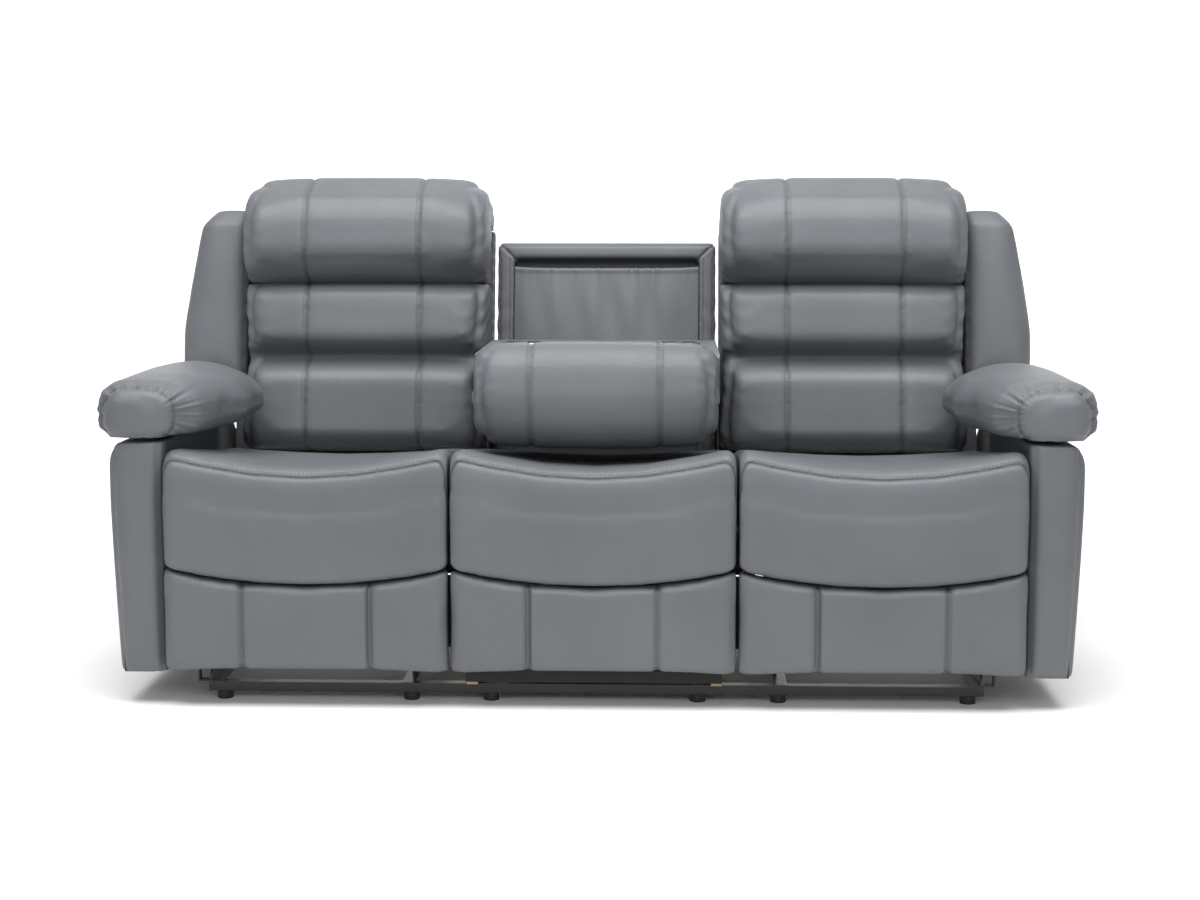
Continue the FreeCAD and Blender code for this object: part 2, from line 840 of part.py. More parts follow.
def make_back_bracket():
    """Steel bracket from the recline pivot up to a post."""
    y, z = back_pivot
    low_front = back_point(-12, frame_bottom_t + 10)
    high_front = back_point(-12, frame_bottom_t + 150)
    high_rear = back_point(-70, frame_bottom_t + 150)
    low_rear = back_point(-70, frame_bottom_t + 10)
    profile = [
        (y - 16, z - 8, 14),
        (y - 14, z + 24, 20),
        (*low_front, 20),
        (*high_front, 12),
        (*high_rear, 12),
        (*low_rear, 30),
        (y + 22, z - 8, 14),
    ]
    body = plate(profile, back_bracket_s, steel)
    return body.cut(hole(back_bracket_s, y, z, swing_pin_radius))


def wing_section(t, outer_x, shrink):
    """Level section of a wing at t up the back."""
    rear = -post_depth - shell_thickness
    corners = [
        (back_outer_x + 2, rear, 0),
        (outer_x - shrink, rear + shrink, 30),
        (outer_x - shrink, wing_front_n - shrink, 42),
        (back_outer_x + 2, wing_front_n - shrink, 24),
    ]
    return outline(corners, lambda x, n: V(x, *back_point(n, t)))


def make_back_shell():
    """Rear cover with its side returns and the padded wing."""
    rear = -post_depth - shell_thickness
    inner_x = back_inner_x + 1
    outer_x = arm_inner_x - 5
    panel = slab(sharp([(rear, shell_bottom_t), (rear, frame_top_t + 1), (-post_depth, frame_top_t + 1),
                        (-post_depth, shell_bottom_t)]), leaned(inner_x), V(outer_x - inner_x, 0, 0))
    side = sharp([(-post_depth, -110), (-post_depth, frame_top_t), (-1, frame_top_t), (-1, -20),
                  (-40, -60)])
    inner_side = slab(side, leaned(inner_x), V(side_return, 0, 0))
    outer_side = slab(side, leaned(outer_x - side_return), V(side_return, 0, 0))
    sections = [
        (wing_bottom_t, wing_outer_x, 16),
        (wing_bottom_t + 16, wing_outer_x, 0),
        (wing_shoulder_t, wing_outer_x, 0),
        (wing_top_t - 40, wing_top_x + 4, 0),
        (wing_top_t, wing_top_x, 26),
    ]
    wing = loft([wing_section(*section) for section in sections])
    room = sharp([(rear - 5, wing_bottom_t - 5), (rear - 5, frame_top_t + 1), (soft_gap, frame_top_t + 1),
                  (soft_gap, wing_bottom_t - 5)])
    room_width = outer_x - side_return - back_outer_x + 5
    wing = wing.cut(slab(room, leaned(back_outer_x - 5), V(room_width, 0, 0)))
    return panel.fuse([inner_side, outer_side, wing]).removeSplitter()


def make_backs():
    export_pair("back_frame", at_seat(make_back_frame()))
    export_pair("back_brackets", *[at_seat(shape) for shape in both_sides(make_back_bracket())])
    export_pair("back_shell", make_back_shell())
    export_pair("lumbar_cushion", loft([lumbar_section(x, d) for x, d in back_stations(42)]))
    export_pair("head_cushion", loft([head_section(x, d) for x, d in back_stations(46)]))


# Console

def console_lumbar_section(x, drawn):
    """Underside tiers of the folded console."""
    top = console_board_b[0]
    corners = [
        (-88, top, 0),
        (-92, console_low_b + 17, 30),
        (58, console_low_b + 3, 40),
        (98, console_groove_b, 0),
        (122, console_low_b + 5, 30),
        (248, console_low_b + 3, 36),
        (278, console_groove_b, 0),
        (278, top, 0),
    ]
    slight = drawn * 0.3
    return outline(drawn_in(corners, [slight, drawn, slight, slight, drawn, slight, 0, 0]), folded(x))


def console_head_section(x, drawn):
    """Roll at the console's free end, round the board and up to the tray."""
    under, over = console_board_b
    corners = [
        (281, under, 0),
        (281, console_groove_b, 0),
        (312, console_low_b, 40),
        (500, console_low_b, 80),
        (537, 62, 60),
        (512, console_crest_b, 74),
        (390, console_crest_b, 40),
        (tray_end + 2, tray_top_b - 6, 0),
        (tray_end + 2, over, 0),
        (console_board_end + 1, over, 0),
        (console_board_end + 1, under, 0),
    ]
    slight = drawn * 0.3
    amounts = [0, slight, drawn, drawn * 0.6, drawn * 0.6, drawn, slight, 0, 0, 0, 0]
    return outline(drawn_in(corners, amounts), folded(x))


def make_tray():
    """Hollow tray box over the board, with a hole for each cup holder."""
    half = console_half_width
    low = console_board_b[1]
    outer = slab([(tray_start, low, 0), (tray_start, tray_top_b, 16), (tray_end, tray_top_b, 8),
                  (tray_end, low, 0)], folded(-half), V(2 * half, 0, 0))
    near = tray_start + tray_wall
    far = tray_end - tray_wall
    under_top = tray_top_b - tray_wall
    inner = slab(sharp([(near, low - 1), (near, under_top), (far, under_top), (far, low - 1)]),
                 folded(-half + tray_wall), V(2 * (half - tray_wall), 0, 0))
    tray = outer.cut(inner)
    for side in (-1, 1):
        middle = V(side * cup_x, hinge_y - cup_from_hinge, hinge_z + low)
        tray = tray.cut(Part.makeCylinder(cup_inner_radius + cup_wall + soft_gap, 100, middle))
    return tray


def make_cup(side):
    """Cup holder of thin steel: wall, floor and a rounded flange that lies on the tray."""
    x = side * cup_x
    y = hinge_y - cup_from_hinge
    floor_z = hinge_z + cup_floor_b
    rim_z = hinge_z + tray_top_b + soft_gap
    outer = cup_inner_radius + cup_wall
    wall = upright(x, y, floor_z - cup_wall, rim_z - floor_z + cup_wall + 1, outer, cup_sides)
    rings = [(cup_flange, 0), (cup_flange - 0.5, 4), (cup_flange - 3, 6.5), (cup_inner_radius - 1, 7)]
    flange = loft([ring(x, y, rim_z + up, radius, cup_sides) for radius, up in rings])
    inside = upright(x, y, floor_z, 100, cup_inner_radius, cup_sides)
    return wall.fuse(flange).cut(inside).removeSplitter()


def make_hinge_arm():
    """Steel arm on the tray's side with the stud that turns in the bracket."""
    x = console_half_width + layer_gap
    profile = [
        (-18, -14, 14),
        (-24, 60, 12),
        (-40, 128, 12),
        (120, 128, 12),
        (110, 78, 20),
        (22, 60, 20),
        (18, -14, 14),
    ]
    body = slab(profile, folded(x), V(steel, 0, 0))
    stud_end = middle_half_width + steel
    return body.fuse(rod(x + steel - 0.5, stud_end, hinge_y, hinge_z, hinge_pin_radius)).removeSplitter()


def console_stations(end_draw):
    half = console_half_width - 3
    return channelled(half, console_seam, end_draw)


def make_console():
    half = console_half_width
    low, high = console_board_b
    corners = sharp([(tray_start, low), (tray_start, high), (console_board_end, high),
                     (console_board_end, low)])
    board = slab(corners, folded(-half + 3), V(2 * half - 6, 0, 0))
    export("console_board", board)
    export("console_tray", make_tray())
    export("console_cup_holders", make_cup(-1), make_cup(1))
    export("console_hinge_arms", *both_sides(make_hinge_arm()))
    stations = console_stations(34)
    export("console_lumbar_cushion", loft([console_lumbar_section(x, d) for x, d in stations]))
    export("console_head_cushion", loft([console_head_section(x, d) for x, d in stations]))


# Recess behind the console

def recess_bottom(n):
    """The t at which a line at n meets the top of the middle seat's box."""
    return (seat_box_top_z - hinge_z - n * math.sin(lean)) / math.cos(lean)


def make_recess_frame():
    """Padded cheeks, top and rear board round the pouch."""
    outer = [(recess_front_n, recess_bottom(recess_front_n), 0), (recess_front_n, recess_top_t, 14),
             (recess_rear_n, recess_top_t, 10), (recess_rear_n, recess_bottom(recess_rear_n), 0)]
    body = slab(outer, recess_plane(-middle_half_width), V(2 * middle_half_width, 0, 0))
    back_n = recess_rear_n + recess_board
    well = sharp([(recess_front_n + 5, recess_bottom(recess_front_n) - 20),
                  (recess_front_n + 5, recess_inner_top_t),
                  (back_n, recess_inner_top_t), (back_n, recess_bottom(back_n) - 20)])
    return body.cut(slab(well, recess_plane(-recess_inner_half), V(2 * recess_inner_half, 0, 0)))


def make_pouch():
    """Gathered sheet with soft upright folds, closed along its bottom and hemmed at its top."""
    half = recess_inner_half - soft_gap
    front = recess_front_n - 8
    rear_n = recess_rear_n + recess_board + soft_gap
    place = lambda x, n: V(x, *recess_point(n, pouch_bottom_t))
    up = V(0, math.sin(lean), math.cos(lean))
    steps = pouch_waves * 6
    waved = []
    for i in range(steps + 1):
        across_share = i / steps
        fold = pouch_wave_depth * math.sin(2 * math.pi * pouch_waves * across_share)
        waved.append((-half + 2 * half * across_share, front + fold))
    behind = [(x, n - pouch_sheet) for x, n in reversed(waved)]
    sheet_face = Part.Face(outline(sharp(waved + behind), place))
    hem = 14.0
    sheet = sheet_face.extrude(up * (pouch_top_t - hem - pouch_bottom_t))
    corners = [(front + 4, pouch_top_t - hem, 4), (front + 4, pouch_top_t, 4),
               (front - 7, pouch_top_t, 4), (front - 7, pouch_top_t - hem, 4)]
    band = slab(corners, recess_plane(-half), V(2 * half, 0, 0))
    corners = sharp([(front + 4, pouch_bottom_t - 6), (front + 4, pouch_bottom_t),
                     (rear_n, pouch_bottom_t), (rear_n, pouch_bottom_t - 6)])
    floor = slab(corners, recess_plane(-half), V(2 * half, 0, 0))
    return sheet.fuse([band, floor]).removeSplitter()


def make_recess_bracket():
    """Steel side plate from the middle seat's box to the console's hinge and the recess."""
    y, z = hinge_y, hinge_z
    low = seat_box_top_z
    front_edge = recess_point(recess_front_n - 6, 60)
    high = recess_point(recess_front_n - 6, 140)
    rear_high = recess_point(recess_front_n - 44, 140)
    rear_low = recess_point(recess_front_n - 44, recess_bottom(recess_front_n - 44) + 20)
    profile = [
        (y - 40, low - 60, 10),
        (y - 40, low + 20, 20),
        (y - 20, z + 20, 18),
        (y + 20, z + 20, 30),
        (*front_edge, 30),
        (*high, 10),
        (*rear_high, 10),
        (*rear_low, 20),
        (rear_low[0] - 30, low - 60, 20),
    ]
    body = plate(profile, middle_half_width, steel)
    window = [
        (y - 22, low + 30, 16),
        (y - 4, z - 46, 16),
        (y + 70, z - 20, 16),
        (y + 120, low + 30, 16),
    ]
    body = body.cut(plate(window, middle_half_width - 1, steel + 2))
    return body.cut(hole(middle_half_width, y, z, hinge_pin_radius))


def make_recess():
    export("recess_frame", make_recess_frame())
    export("recess_pouch", make_pouch())
    export("recess_brackets", *both_sides(make_recess_bracket()))


# Arms

def arm_profile(inset):
    """Side outline of an arm, drawn in by a wall."""
    slope = inset * 0.3
    return sharp([
        (arm_front_y + inset, arm_bottom_z),
        (arm_front_y + inset, arm_top_z - inset),
        (arm_slope_start_y - slope, arm_top_z - inset),
        (arm_rear_y - inset, arm_slope_z - slope),
        (arm_rear_y - inset, arm_bottom_z),
    ])


def make_arm_body():
    """Upholstered arm panels, open underneath, with the pocket of the release handle."""
    shell = plate(arm_profile(0), arm_inner_x, arm_width)
    height = arm_top_z - arm_bottom_z
    front_edges = [edge for edge in shell.Edges
                   if abs(edge.BoundBox.ZLength - height) < 1 and edge.BoundBox.YLength < 1]
    shell = shell.makeFillet(18, front_edges)
    room = [(y, z if z > arm_bottom_z else z - 5, r) for y, z, r in arm_profile(arm_wall)]
    shell = shell.cut(plate(room, arm_inner_x + arm_wall, arm_width - 2 * arm_wall))
    y0, y1 = handle_pocket_y
    z0, z1 = handle_pocket_z
    inner_x = arm_outer_x - handle_pocket_depth
    cup = block((inner_x - handle_wall, arm_outer_x - 1), (y0 - handle_wall, y1 + handle_wall),
                (z0 - handle_wall, z1 + handle_wall))
    pocket = block((inner_x, arm_outer_x + 1), (y0, y1), (z0, z1))
    pin_x, pin_y = handle_axis()
    clear = (handle_pin_radius + pivot_clearance) / math.cos(math.pi / pin_sides)
    bore = upright(pin_x, pin_y, z0 - handle_wall - 1, z1 - z0 + 2 * handle_wall + 2, clear, pin_sides)
    return shell.fuse(cup).cut(pocket).cut(bore).removeSplitter()


def handle_axis():
    """The (x, y) of the handle's upright hinge pin."""
    return arm_outer_x - handle_thickness - 1, handle_pocket_y[0] + handle_thickness + 2


def make_handle():
    """Paddle that the fingers pull outwards, with its hinge pin."""
    x, y = handle_axis()
    z0, z1 = handle_pocket_z
    half = handle_thickness / 2
    plan = [
        (x - half, y - 2, 1),
        (x - half, y + handle_length, 2.5),
        (x + half, y + handle_length, 2.5),
        (x + half, y - 2, 1),
    ]
    paddle = slab(plan, lambda a, b: V(a, b, z0 + handle_gap), V(0, 0, z1 - z0 - 2 * handle_gap))
    lip = block((x - half - 5, x - half + 1), (y + handle_length - 8, y + handle_length - 3),
                (z0 + handle_gap, z1 - handle_gap))
    pin = upright(x, y, z0 - handle_wall, z1 - z0 + 2 * handle_wall, handle_pin_radius, pin_sides)
    knuckle = upright(x, y, z0 + handle_gap, z1 - z0 - 2 * handle_gap, half + 2)
    return paddle.fuse([lip, pin, knuckle]).removeSplitter()


def make_arm_frame():
    """Wooden frame inside an arm."""
    low, high = (arm_inner_x + offset for offset in arm_frame_x)
    ring = plate(arm_profile(arm_wall), low, high - low)
    inset = arm_wall + arm_frame_band
    room = [(y, z if z > arm_bottom_z else z + arm_frame_band, r) for y, z, r in arm_profile(inset)]
    return ring.cut(plate(room, low - 1, high - low + 2))


def pad_section(y, inner_x, outer_x, bottom, top):
    """Rounded cross-section of an arm pad."""
    corners = [
        (inner_x, bottom, 30),
        (outer_x, bottom, 24),
        (outer_x, top, 44),
        (inner_x, top, 44),
    ]
    return outline(corners, fronting(y))


def make_arm_pad():
    """Pillow pad that overhangs the arm on both sides."""
    low = arm_top_z + soft_gap
    outer = arm_outer_x + pad_overhang
    front = front_y + 15
    cushion_y = back_point(tier_depth, 120)[0]
    sections = [
        (front, arm_inner_x + 22, outer - 18, low + 16, pad_top_z - 34),
        (front + 14, arm_inner_x - 12, outer - 4, low + 2, pad_top_z - 10),
        (front + 80, arm_inner_x - 68, outer, low, pad_top_z),
        (front + 310, arm_inner_x - 124, outer - 1, low, pad_top_z),
        (cushion_y - 66, arm_inner_x - 117, outer - 5, low, pad_top_z - 1),
        (cushion_y - 24, arm_inner_x - 34, outer - 7, low, pad_top_z - 5),
        (cushion_y + 44, arm_inner_x - 20, outer - 12, low, pad_top_z - 14),
    ]
    return loft([pad_section(*section) for section in sections])


def make_arm_bracket(y):
    """Stepped steel strap from a rail's end to the underside of the arm's frame."""
    end = rail_half_length
    steps = [
        (end - 3, rail_top_z), (end + 22, rail_top_z), (end + 22, arm_bottom_z - steel),
        (arm_outer_x - 25, arm_bottom_z - steel), (arm_outer_x - 25, arm_bottom_z),
        (end + 22 - steel, arm_bottom_z), (end + 22 - steel, rail_top_z + steel),
        (end - 3, rail_top_z + steel),
    ]
    return slab(sharp(steps), fronting(y - 10), V(0, 20, 0))


def make_arms():
    export_pair("arm_body", make_arm_body())
    export_pair("arm_pad", make_arm_pad())
    export_pair("release_handle", make_handle())
    frame = make_arm_frame()
    export("arm_frames", frame, mirrored(frame))
    brackets = [make_arm_bracket(y) for y in (front_rail_y, rear_rail_y)]
    export("arm_brackets", *brackets, *[mirrored(shape) for shape in brackets])


os.makedirs("parts", exist_ok=True)
make_base()
make_centre()
make_outer_seats()
make_backs()
make_console()
make_recess()
make_arms()
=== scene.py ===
# %% [markdown]
# # A reclining sofa with a drop-down console
#
# The CAD frame gives every piece its place. This script dresses it: each upholstered solid is
# replaced by a soft cover that is blown up by a cloth simulation, sewn with channels and
# stitches, and the steel, wood and plastic pieces get finishes made of shader nodes.

# %% Frame and driving values
import bpy
import bmesh
import json
import math
import numpy as np
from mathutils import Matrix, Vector
from mathutils.bvhtree import BVHTree


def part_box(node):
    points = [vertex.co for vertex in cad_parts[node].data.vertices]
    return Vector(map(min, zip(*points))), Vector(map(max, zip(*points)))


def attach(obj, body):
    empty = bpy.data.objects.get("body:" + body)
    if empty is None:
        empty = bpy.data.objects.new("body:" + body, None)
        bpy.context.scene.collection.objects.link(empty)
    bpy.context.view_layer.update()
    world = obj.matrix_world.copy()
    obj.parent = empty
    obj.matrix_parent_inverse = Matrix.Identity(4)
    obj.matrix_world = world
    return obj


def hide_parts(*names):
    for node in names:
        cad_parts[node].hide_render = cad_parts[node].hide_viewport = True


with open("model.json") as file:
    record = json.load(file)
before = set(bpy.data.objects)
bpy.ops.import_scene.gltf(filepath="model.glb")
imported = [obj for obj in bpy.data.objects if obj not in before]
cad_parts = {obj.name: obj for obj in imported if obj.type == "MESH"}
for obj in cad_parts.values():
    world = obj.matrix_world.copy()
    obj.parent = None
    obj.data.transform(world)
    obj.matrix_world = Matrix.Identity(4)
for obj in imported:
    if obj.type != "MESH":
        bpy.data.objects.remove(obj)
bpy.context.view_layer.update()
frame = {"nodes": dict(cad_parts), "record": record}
scene = bpy.context.scene

SIDES = {"right": 1.0, "left": -1.0}
SEAT_PITCH = 0.571
SEAT_HALF = 0.283
print("frame loaded:", len(frame["nodes"]), "nodes")


# %% [markdown]
# ## Places on the leaning back
# The outer backs and the recess lean 12 degrees, so their grooves, rolls and edges don't run
# along the world's axes. Each object could be given a rotation, but the frame wants every
# piece at the origin. So places are converted instead: n is how far a point lies forward of
# the back's wooden frame, and t how far up along it.

# %% Leaning coordinates
LEAN = math.radians(12.0)
BACK_ORIGIN = (0.225, 0.450)
HINGE = (0.160, 0.545)


def back_point(n, t, origin=BACK_ORIGIN):
    """(y, z) of a point n forward of the back's frame and t up along it."""
    y = origin[0] - n * math.cos(LEAN) + t * math.sin(LEAN)
    z = origin[1] + n * math.sin(LEAN) + t * math.cos(LEAN)
    return y, z


def back_coords(co, origin=BACK_ORIGIN):
    """n and t of every vertex."""
    dy = co[:, 1] - origin[0]
    dz = co[:, 2] - origin[1]
    n = -dy * math.cos(LEAN) + dz * math.sin(LEAN)
    t = dy * math.sin(LEAN) + dz * math.cos(LEAN)
    return n, t


foot, top = back_point(0.0, 0.0), back_point(0.0, 0.5)
print(f"a back leans {(top[0] - foot[0]) * 1000:.0f} mm to the rear over 500 mm")


# %% [markdown]
# ## Mesh helpers
# Blender can move vertices one by one in a loop, which is slow for a cover with seventy
# thousand of them. Here all places are read into one numpy array, changed at once and written
# back. The other helpers make an object, bake a modifier into a mesh, and cut a solid in two.

# %% Reading and writing vertices
def get_co(obj):
    co = np.empty(len(obj.data.vertices) * 3, np.float32)
    obj.data.vertices.foreach_get("co", co)
    return co.reshape(-1, 3).astype(float)


def set_co(obj, co):
    obj.data.vertices.foreach_set("co", np.asarray(co, np.float32).ravel())
    obj.data.update()


def get_normals(obj):
    normals = np.empty(len(obj.data.vertices) * 3, np.float32)
    obj.data.vertices.foreach_get("normal", normals)
    return normals.reshape(-1, 3).astype(float)


def new_object(name, mesh):
    obj = bpy.data.objects.new(name, mesh)
    scene.collection.objects.link(obj)
    return obj


def mesh_object(name, verts, faces):
    """A new object from lists of corners and faces."""
    mesh = bpy.data.meshes.new(name)
    mesh.from_pydata(verts, [], faces)
    return new_object(name, mesh)


def shade_smooth(obj):
    for face in obj.data.polygons:
        face.use_smooth = True
    return obj


def apply_modifier(obj, kind, **values):
    """Adds one modifier and bakes it into the mesh."""
    modifier = obj.modifiers.new(kind.title(), kind)
    for key, value in values.items():
        setattr(modifier, key, value)
    graph = bpy.context.evaluated_depsgraph_get()
    mesh = bpy.data.meshes.new_from_object(obj.evaluated_get(graph))
    obj.modifiers.clear()
    obj.data = mesh
    return obj


def copy_of_node(node, name):
    """A welded copy of a CAD node's mesh as a new object."""
    mesh = frame["nodes"][node].data.copy()
    mesh.materials.clear()
    build = bmesh.new()
    build.from_mesh(mesh)
    bmesh.ops.remove_doubles(build, verts=build.verts, dist=1e-5)
    build.to_mesh(mesh)
    build.free()
    return new_object(name, mesh)


def keep_side(obj, point, normal):
    """Cuts a closed mesh by a plane, keeps the side that the normal points away from, and closes it."""
    build = bmesh.new()
    build.from_mesh(obj.data)
    geometry = build.verts[:] + build.edges[:] + build.faces[:]
    bmesh.ops.bisect_plane(build, geom=geometry, plane_co=point, plane_no=normal, clear_outer=True)
    open_edges = [edge for edge in build.edges if edge.is_boundary]
    bmesh.ops.holes_fill(build, edges=open_edges, sides=0)
    bmesh.ops.recalc_face_normals(build, faces=build.faces)
    build.to_mesh(obj.data)
    build.free()
    return obj


# %% [markdown]
# ## Soft covers
# On the real sofa foam and fibre fill a sewn cover, so each cushion bulges between its seams.
# It could be sculpted by hand. Here it is simulated: the CAD solid is remeshed to an even
# grid, smoothed, drawn in a little, and blown up by cloth with pressure, while the places that
# are glued to wood are held. So the form follows from the cushion's own outline. How far a
# point may move is capped, and the result is fitted to the solid's box, so that no cover
# reaches into its neighbour.

# %% Rounder corners
def round_corner(obj, first, second, centre, radius, ways, coords=None, back=None):
    """Turns a square edge into a round one.

    first and second are the two coordinates that meet at the edge, centre is the middle of the
    round, and ways says on which side of it the edge lies."""
    co = get_co(obj)
    values = co.copy() if coords is None else coords(co)
    away = np.stack([(values[:, first] - centre[0]) * ways[0],
                     (values[:, second] - centre[1]) * ways[1]], 1)
    inside = (away > 0).all(axis=1)
    box = np.maximum(away[:, 0] / radius[0], away[:, 1] / radius[1])
    length = np.hypot(away[:, 0] / radius[0], away[:, 1] / radius[1])
    share = np.where(inside, box / np.maximum(length, 1e-9), 1.0)
    values[:, first] = np.where(inside, centre[0] + ways[0] * away[:, 0] * share, values[:, first])
    values[:, second] = np.where(inside, centre[1] + ways[1] * away[:, 1] * share, values[:, second])
    set_co(obj, values if back is None else back(values))


def to_back(co):
    """x, n, t of every vertex."""
    n, t = back_coords(co)
    return np.stack([co[:, 0], n, t], 1)


def from_back(values):
    y, z = back_point(values[:, 1], values[:, 2])
    return np.stack([values[:, 0], y, z], 1)


# %% Blowing up a cover
VOXEL = 0.0080
EVEN_ROUNDS = 22
CLOTH_FRAMES = 20
CLOTH = {"quality": 4, "mass": 0.25, "air_damping": 2.0, "tension_stiffness": 12.0,
         "compression_stiffness": 12.0, "shear_stiffness": 4.0, "bending_stiffness": 0.8,
         "use_pressure": True}


def remesh(obj, voxel):
    return apply_modifier(obj, "REMESH", mode="VOXEL", voxel_size=voxel, adaptivity=0.0)


def smooth(obj, times, factor=0.5):
    if times:
        apply_modifier(obj, "SMOOTH", factor=factor, iterations=times)
    return obj


def inflate(obj, held, cap, pressure=4.0, grow=0.02):
    """Blows a cover up by cloth with pressure; returns how far each point went before the cap."""
    rest = get_co(obj)
    group = obj.vertex_groups.new(name="held")
    group.add([int(i) for i in np.flatnonzero(held)], 1.0, "REPLACE")
    modifier = obj.modifiers.new("Cloth", "CLOTH")
    settings = modifier.settings
    for key, value in CLOTH.items():
        setattr(settings, key, value)
    settings.shrink_min = -grow
    settings.uniform_pressure_force = pressure
    settings.vertex_group_mass = "held"
    settings.effector_weights.gravity = 0.0
    modifier.collision_settings.use_collision = False
    modifier.point_cache.frame_start = 1
    modifier.point_cache.frame_end = CLOTH_FRAMES
    for number in range(1, CLOTH_FRAMES + 1):
        scene.frame_set(number)
    graph = bpy.context.evaluated_depsgraph_get()
    blown = obj.evaluated_get(graph)
    moved = np.empty(len(obj.data.vertices) * 3, np.float32)
    blown.data.vertices.foreach_get("co", moved)
    moved = moved.reshape(-1, 3) - rest
    obj.modifiers.clear()
    obj.vertex_groups.clear()
    scene.frame_set(1)
    moved = even_out(obj, moved, EVEN_ROUNDS)
    length = np.linalg.norm(moved, axis=1)
    moved *= (np.minimum(length, cap) / np.maximum(length, 1e-9))[:, None]
    set_co(obj, rest + moved)
    return length


def even_out(obj, values, rounds):
    """Averages vectors over neighbouring vertices, so that a cover is full and not lumpy."""
    pairs = np.empty(len(obj.data.edges) * 2, np.int32)
    obj.data.edges.foreach_get("vertices", pairs)
    one, two = pairs.reshape(-1, 2).T
    count = len(values)
    degree = np.bincount(one, minlength=count) + np.bincount(two, minlength=count) + 1.0
    for _ in range(rounds):
        total = values.copy()
        for axis in range(3):
            total[:, axis] += np.bincount(one, values[two, axis], minlength=count)
            total[:, axis] += np.bincount(two, values[one, axis], minlength=count)
        values = total / degree[:, None]
    return values


def refit(obj, node, margin, inset=(0.0, 0.0, 0.0)):
    """Stretches a cover so that it fills its CAD node's box, grown by a margin (x, y, z)."""
    low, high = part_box(node)
    wanted_low = np.array(low) - np.array(margin) + np.array(inset)
    wanted_high = np.array(high) + np.array(margin)
    co = get_co(obj)
    real_low, real_high = co.min(axis=0), co.max(axis=0)
    share = (co - real_low) / (real_high - real_low)
    set_co(obj, wanted_low + share * (wanted_high - wanted_low))


def soft_cover(name, source, node, held, voxel=VOXEL, cap=0.014, draw_in=0.006, rounds=6,
               margin=(0.001, 0.002, 0.002), pressure=4.0, grow=0.02, shape=None, inset=(0.0, 0.0, 0.0)):
    """A padded cover made from a source object; held(co) marks the glued vertices."""
    obj = remesh(source, voxel)
    obj.name = name
    if shape is not None:
        shape(obj)
    smooth(obj, rounds)
    co = get_co(obj)
    fixed = held(co)
    set_co(obj, co - get_normals(obj) * np.where(fixed, 0.0, draw_in)[:, None])
    length = inflate(obj, fixed, cap, pressure, grow)
    print(f"{name}: {len(co)} points blown up, median {np.median(length) * 1000:.1f} mm")
    apply_modifier(obj, "SUBSURF", levels=1, render_levels=1)
    refit(obj, node, margin, inset)
    return shade_smooth(obj)


# %% [markdown]
# ## Sewing
# The shade in the dip is painted too: a mask darkens the leather along the seam's line.
# Where two leather panels meet, the cover dips, small folds run away from the seam, and a row
# of thread lies beside it. A sculpt brush could make the dip. Here the vertices near the
# seam are pulled onto its line and pressed in, which keeps the mesh even and the line straight.
# The threads are real geometry, placed by rays that are cast onto the finished cover,
# because painted stitches look flat in a close view.

# %% Creases and puckers
SEAM_SPREAD = 0.0045


def waves(values, pitch, seed):
    """Uneven waves along a line, between -1 and 1."""
    noise = np.random.default_rng(seed)
    total = np.zeros_like(values)
    for part in range(4):
        stretch = pitch * (0.7 + 0.6 * noise.random())
        total += np.sin(2 * math.pi * (values / stretch + noise.random())) / 4
    return total * 1.6


def paint_seam_shade(obj, amount):
    """Adds to the mask that paints shade into the leather along its seams."""
    mesh = obj.data
    mask = mesh.attributes.get("seam") or mesh.attributes.new("seam", "FLOAT", "POINT")
    values = np.empty(len(mesh.vertices), np.float32)
    mask.data.foreach_get("value", values)
    mask.data.foreach_set("value", np.maximum(values, amount).astype(np.float32))


def crease(obj, axis, place, depth, spread=SEAM_SPREAD, where=None, snap=0.0019, shade=0.35):
    """Presses a narrow channel into a cover along the plane where the axis has a value, and paints shade into
    it.
    """
    co = get_co(obj)
    normals = get_normals(obj)
    off = co[:, axis] - place
    active = np.ones(len(co), bool) if where is None else where(co)
    near = active & (np.abs(off) < snap)
    co[near, axis] = place
    near_line = np.exp(-(off / spread) ** 2) * active
    set_co(obj, co - normals * (depth * near_line)[:, None])
    paint_seam_shade(obj, shade * near_line ** 2)


def pucker(obj, distance, along, depth, reach, pitch, seed, where=None):
    """Small folds that run away from a seam: distance from it, and place along it, per vertex."""
    co = get_co(obj)
    normals = get_normals(obj)
    away = distance(co)
    fade = np.exp(-np.abs(away) / reach) * (1 - np.exp(-np.abs(away) / 0.004))
    height = waves(along(co), pitch, seed) * fade * depth
    if where is not None:
        height = height * where(co)
    set_co(obj, co + normals * height[:, None])


# %% Stitches
STITCH_LENGTH = 0.0056
STITCH_GAP = 0.0026
STITCH_THICK = 0.0011
STITCH_RING = 6


def surface_of(obj):
    mesh = obj.data
    mesh.calc_loop_triangles()
    corners = [vertex.co for vertex in mesh.vertices]
    triangles = [tuple(triangle.vertices) for triangle in mesh.loop_triangles]
    return BVHTree.FromPolygons(corners, triangles, all_triangles=True)


def trace(surface, starts, directions, reach=0.6):
    """Points and normals where rays meet a cover."""
    hits = []
    for start, direction in zip(starts, directions):
        place, normal, _, _ = surface.ray_cast(Vector(start), Vector(direction), reach)
        if place is not None:
            hits.append((np.array(place), np.array(normal)))
    return hits


def even_steps(hits, step):
    """Points of a traced line at even steps along it, with normals."""
    points = np.array([place for place, _ in hits])
    normals = np.array([normal for _, normal in hits])
    lengths = np.r_[0, np.cumsum(np.linalg.norm(np.diff(points, axis=0), axis=1))]
    wanted = np.arange(0, lengths[-1], step)
    taken = [np.stack([np.interp(wanted, lengths, values[:, axis]) for axis in range(3)], 1)
             for values in (points, normals)]
    return taken[0], taken[1]


